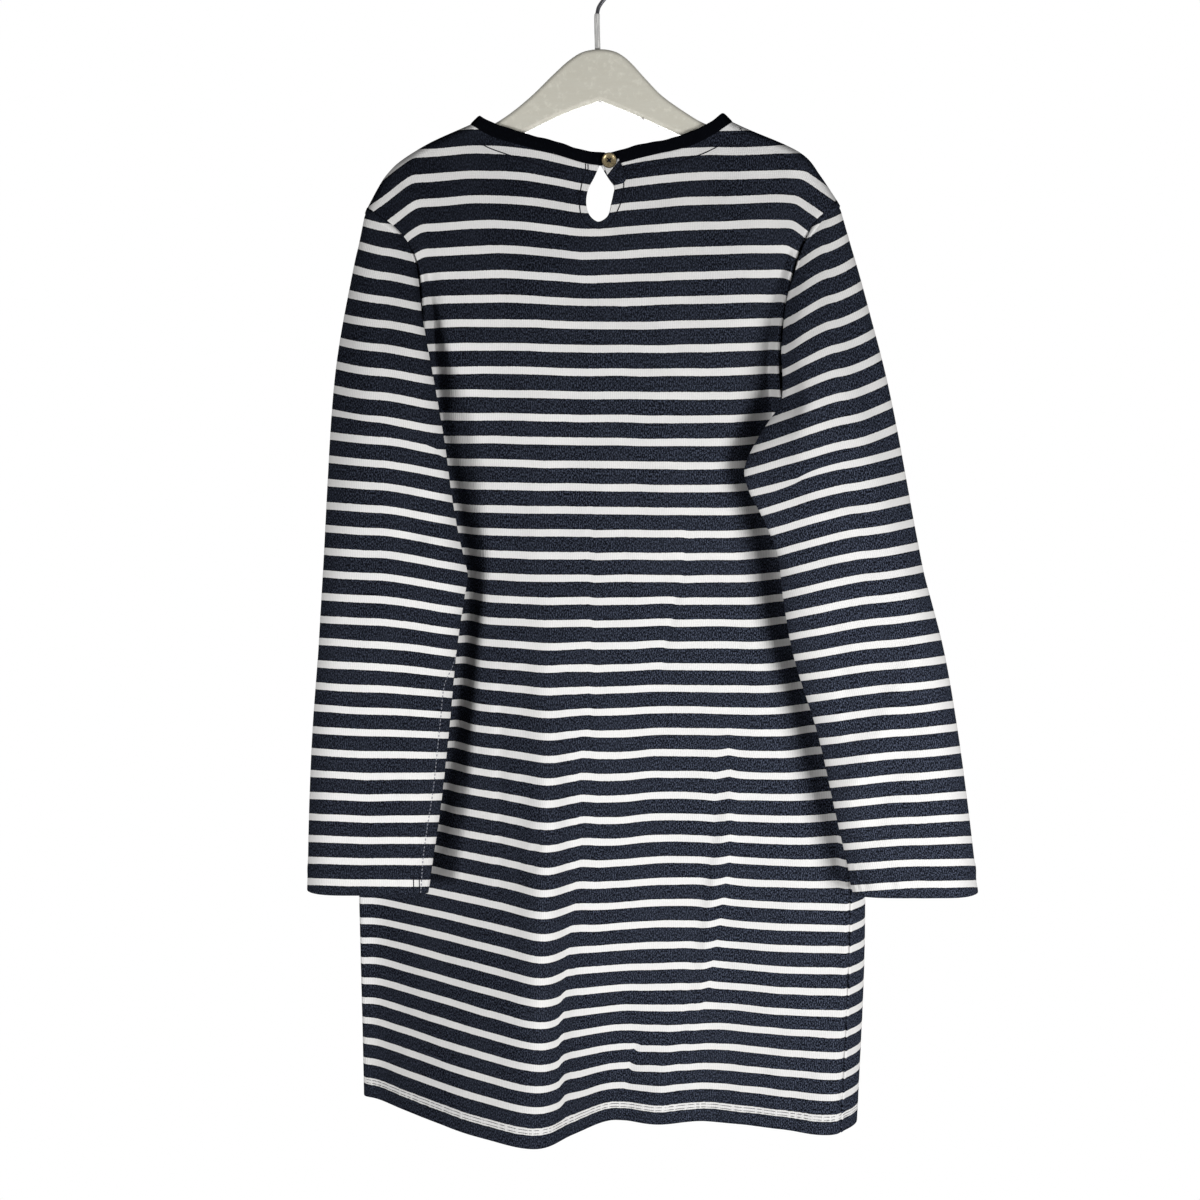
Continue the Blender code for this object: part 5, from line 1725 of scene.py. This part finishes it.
wire_line = Ruler(hook_route())
ends = np.linspace(0, wire_line.length, 150)
rounding = np.clip(np.minimum(wire_line.length - ends, 9) / 1.5, 0, 1)
wire_radii = WIRE / 2 * np.sqrt(1 - (1 - rounding) ** 2 * .92)
show("hook_wire", round_bar("hook_wire", wire_line.at(ends), wire_radii), dark_steel(),
     "hanger_hook")
sleeve_line = wire_line.at(STEM_START + np.linspace(0, STEM_LENGTH, 40))
bead = np.linspace(0, STEM_LENGTH, 40)
bead = np.exp(-(bead / .6) ** 2) + np.exp(-((STEM_LENGTH - bead) / .6) ** 2)
show("stem_sleeve", round_bar("stem_sleeve", sleeve_line, STEM_RADIUS - .35 * bead),
     stem_sleeve_finish())
print("wire", round(float(wire_line.length)), "mm long")

# %% [markdown]
# ## What was cut
# The area of each sheet is printed. Areas are measured on the middle of the wall,
# and pattern pieces are not rectangles.


def area_of(grid):
    a, b = grid[1:, 1:] - grid[:-1, :-1], grid[1:, :-1] - grid[:-1, 1:]
    return float(np.linalg.norm(np.cross(a, b), axis=-1).sum() / 2) * 1e-6


for label, grid in (("back", back_grid), ("front", front_grid), ("left sleeve", left_grid),
                    ("right sleeve", right_grid), ("flap", flap_points)):
    print(label, round(area_of(grid), 4), "square metres")

# %% [markdown]
# ## Light and backdrop
# The dress is lit as in a plain studio, by two lamps below its middle: a smaller
# one from the left, and a broad nearer one from the right. Each throws the shadow
# of one sleeve on the body. A third lamp stands on the far side and lights only
# the front of the dress. The floor and the surroundings are plain and pale. To the
# camera they are white, and so they are to shiny metal.


# %% Lamps
def lamp(name, size, energy, place, aim, spread=120):
    data = bpy.data.lights.new(name, 'AREA')
    data.shape = 'SQUARE'
    data.size = size
    data.energy = energy
    data.spread = math.radians(spread)
    light = bpy.data.objects.new(name, data)
    light.location = place
    light.rotation_euler = (Vector(aim) - Vector(place)).to_track_quat('-Z', 'Y').to_euler()
    bpy.context.scene.collection.objects.link(light)


lamp("left lamp", .3, 4.5, (-.8, -1.05, -.72), (0, 0, -.6))
lamp("right lamp", .55, 6.8, (.85, -.98, -.72), (.05, 0, -.6))
lamp("front lamp", .8, 9.0, (0, 1.45, -.5), (0, 0, -.55))


def white_surroundings():
    world = bpy.data.worlds.new("surroundings")
    bpy.context.scene.world = world
    world.use_nodes = True
    tree = world.node_tree
    sky = tree.nodes["Background"]
    sky.inputs["Color"].default_value = (1, 1, 1, 1)
    rays = tree.nodes.new("ShaderNodeLightPath")
    seen = rays.outputs["Is Camera Ray"]
    for ray in ("Is Glossy Ray", "Is Transmission Ray"):
        either = tree.nodes.new("ShaderNodeMath")
        either.operation = 'MAXIMUM'
        tree.links.new(seen, either.inputs[0])
        tree.links.new(rays.outputs[ray], either.inputs[1])
        seen = either.outputs[0]
    level = tree.nodes.new("ShaderNodeMapRange")
    level.inputs["To Min"].default_value = .06
    tree.links.new(seen, level.inputs["Value"])
    tree.links.new(level.outputs[0], sky.inputs["Strength"])


def pale_floor():
    floor = Finish("pale floor")
    rays = floor.node("LightPath")
    seen = rays
    for ray in ("Is Glossy Ray", "Is Transmission Ray"):
        output = Amount(floor, rays.socket.node.outputs[ray])
        seen = seen.sum('MAXIMUM', output)
    floor.set(Base_Color=(.82, .82, .81, 1.0), Roughness=.9)
    glow = floor.node("Emission", None, {"Color": (1, 1, 1, 1), "Strength": 1.0})
    mixed = floor.node("MixShader", None, {0: seen})
    floor.tree.links.new(floor.shader.outputs[0], mixed.socket.node.inputs[1])
    floor.tree.links.new(glow.socket, mixed.socket.node.inputs[2])
    floor.tree.links.new(mixed.socket, floor.tree.nodes["Material Output"].inputs["Surface"])
    return floor.material


white_surroundings()
FLOOR_Z, FLOOR_RADIUS = -1.25, 2.2
bm = bmesh.new()
bmesh.ops.create_circle(bm, cap_ends=True, segments=64, radius=FLOOR_RADIUS)
bmesh.ops.translate(bm, verts=bm.verts, vec=(0, 0, FLOOR_Z))
floor_mesh = to_mesh(bm, "floor")
floor_mesh.materials.append(pale_floor())
floor = bpy.data.objects.new("floor", floor_mesh)
bpy.context.scene.collection.objects.link(floor)
bpy.context.scene.view_settings.view_transform = 'Standard'
print("lamps:", len(bpy.data.lights))
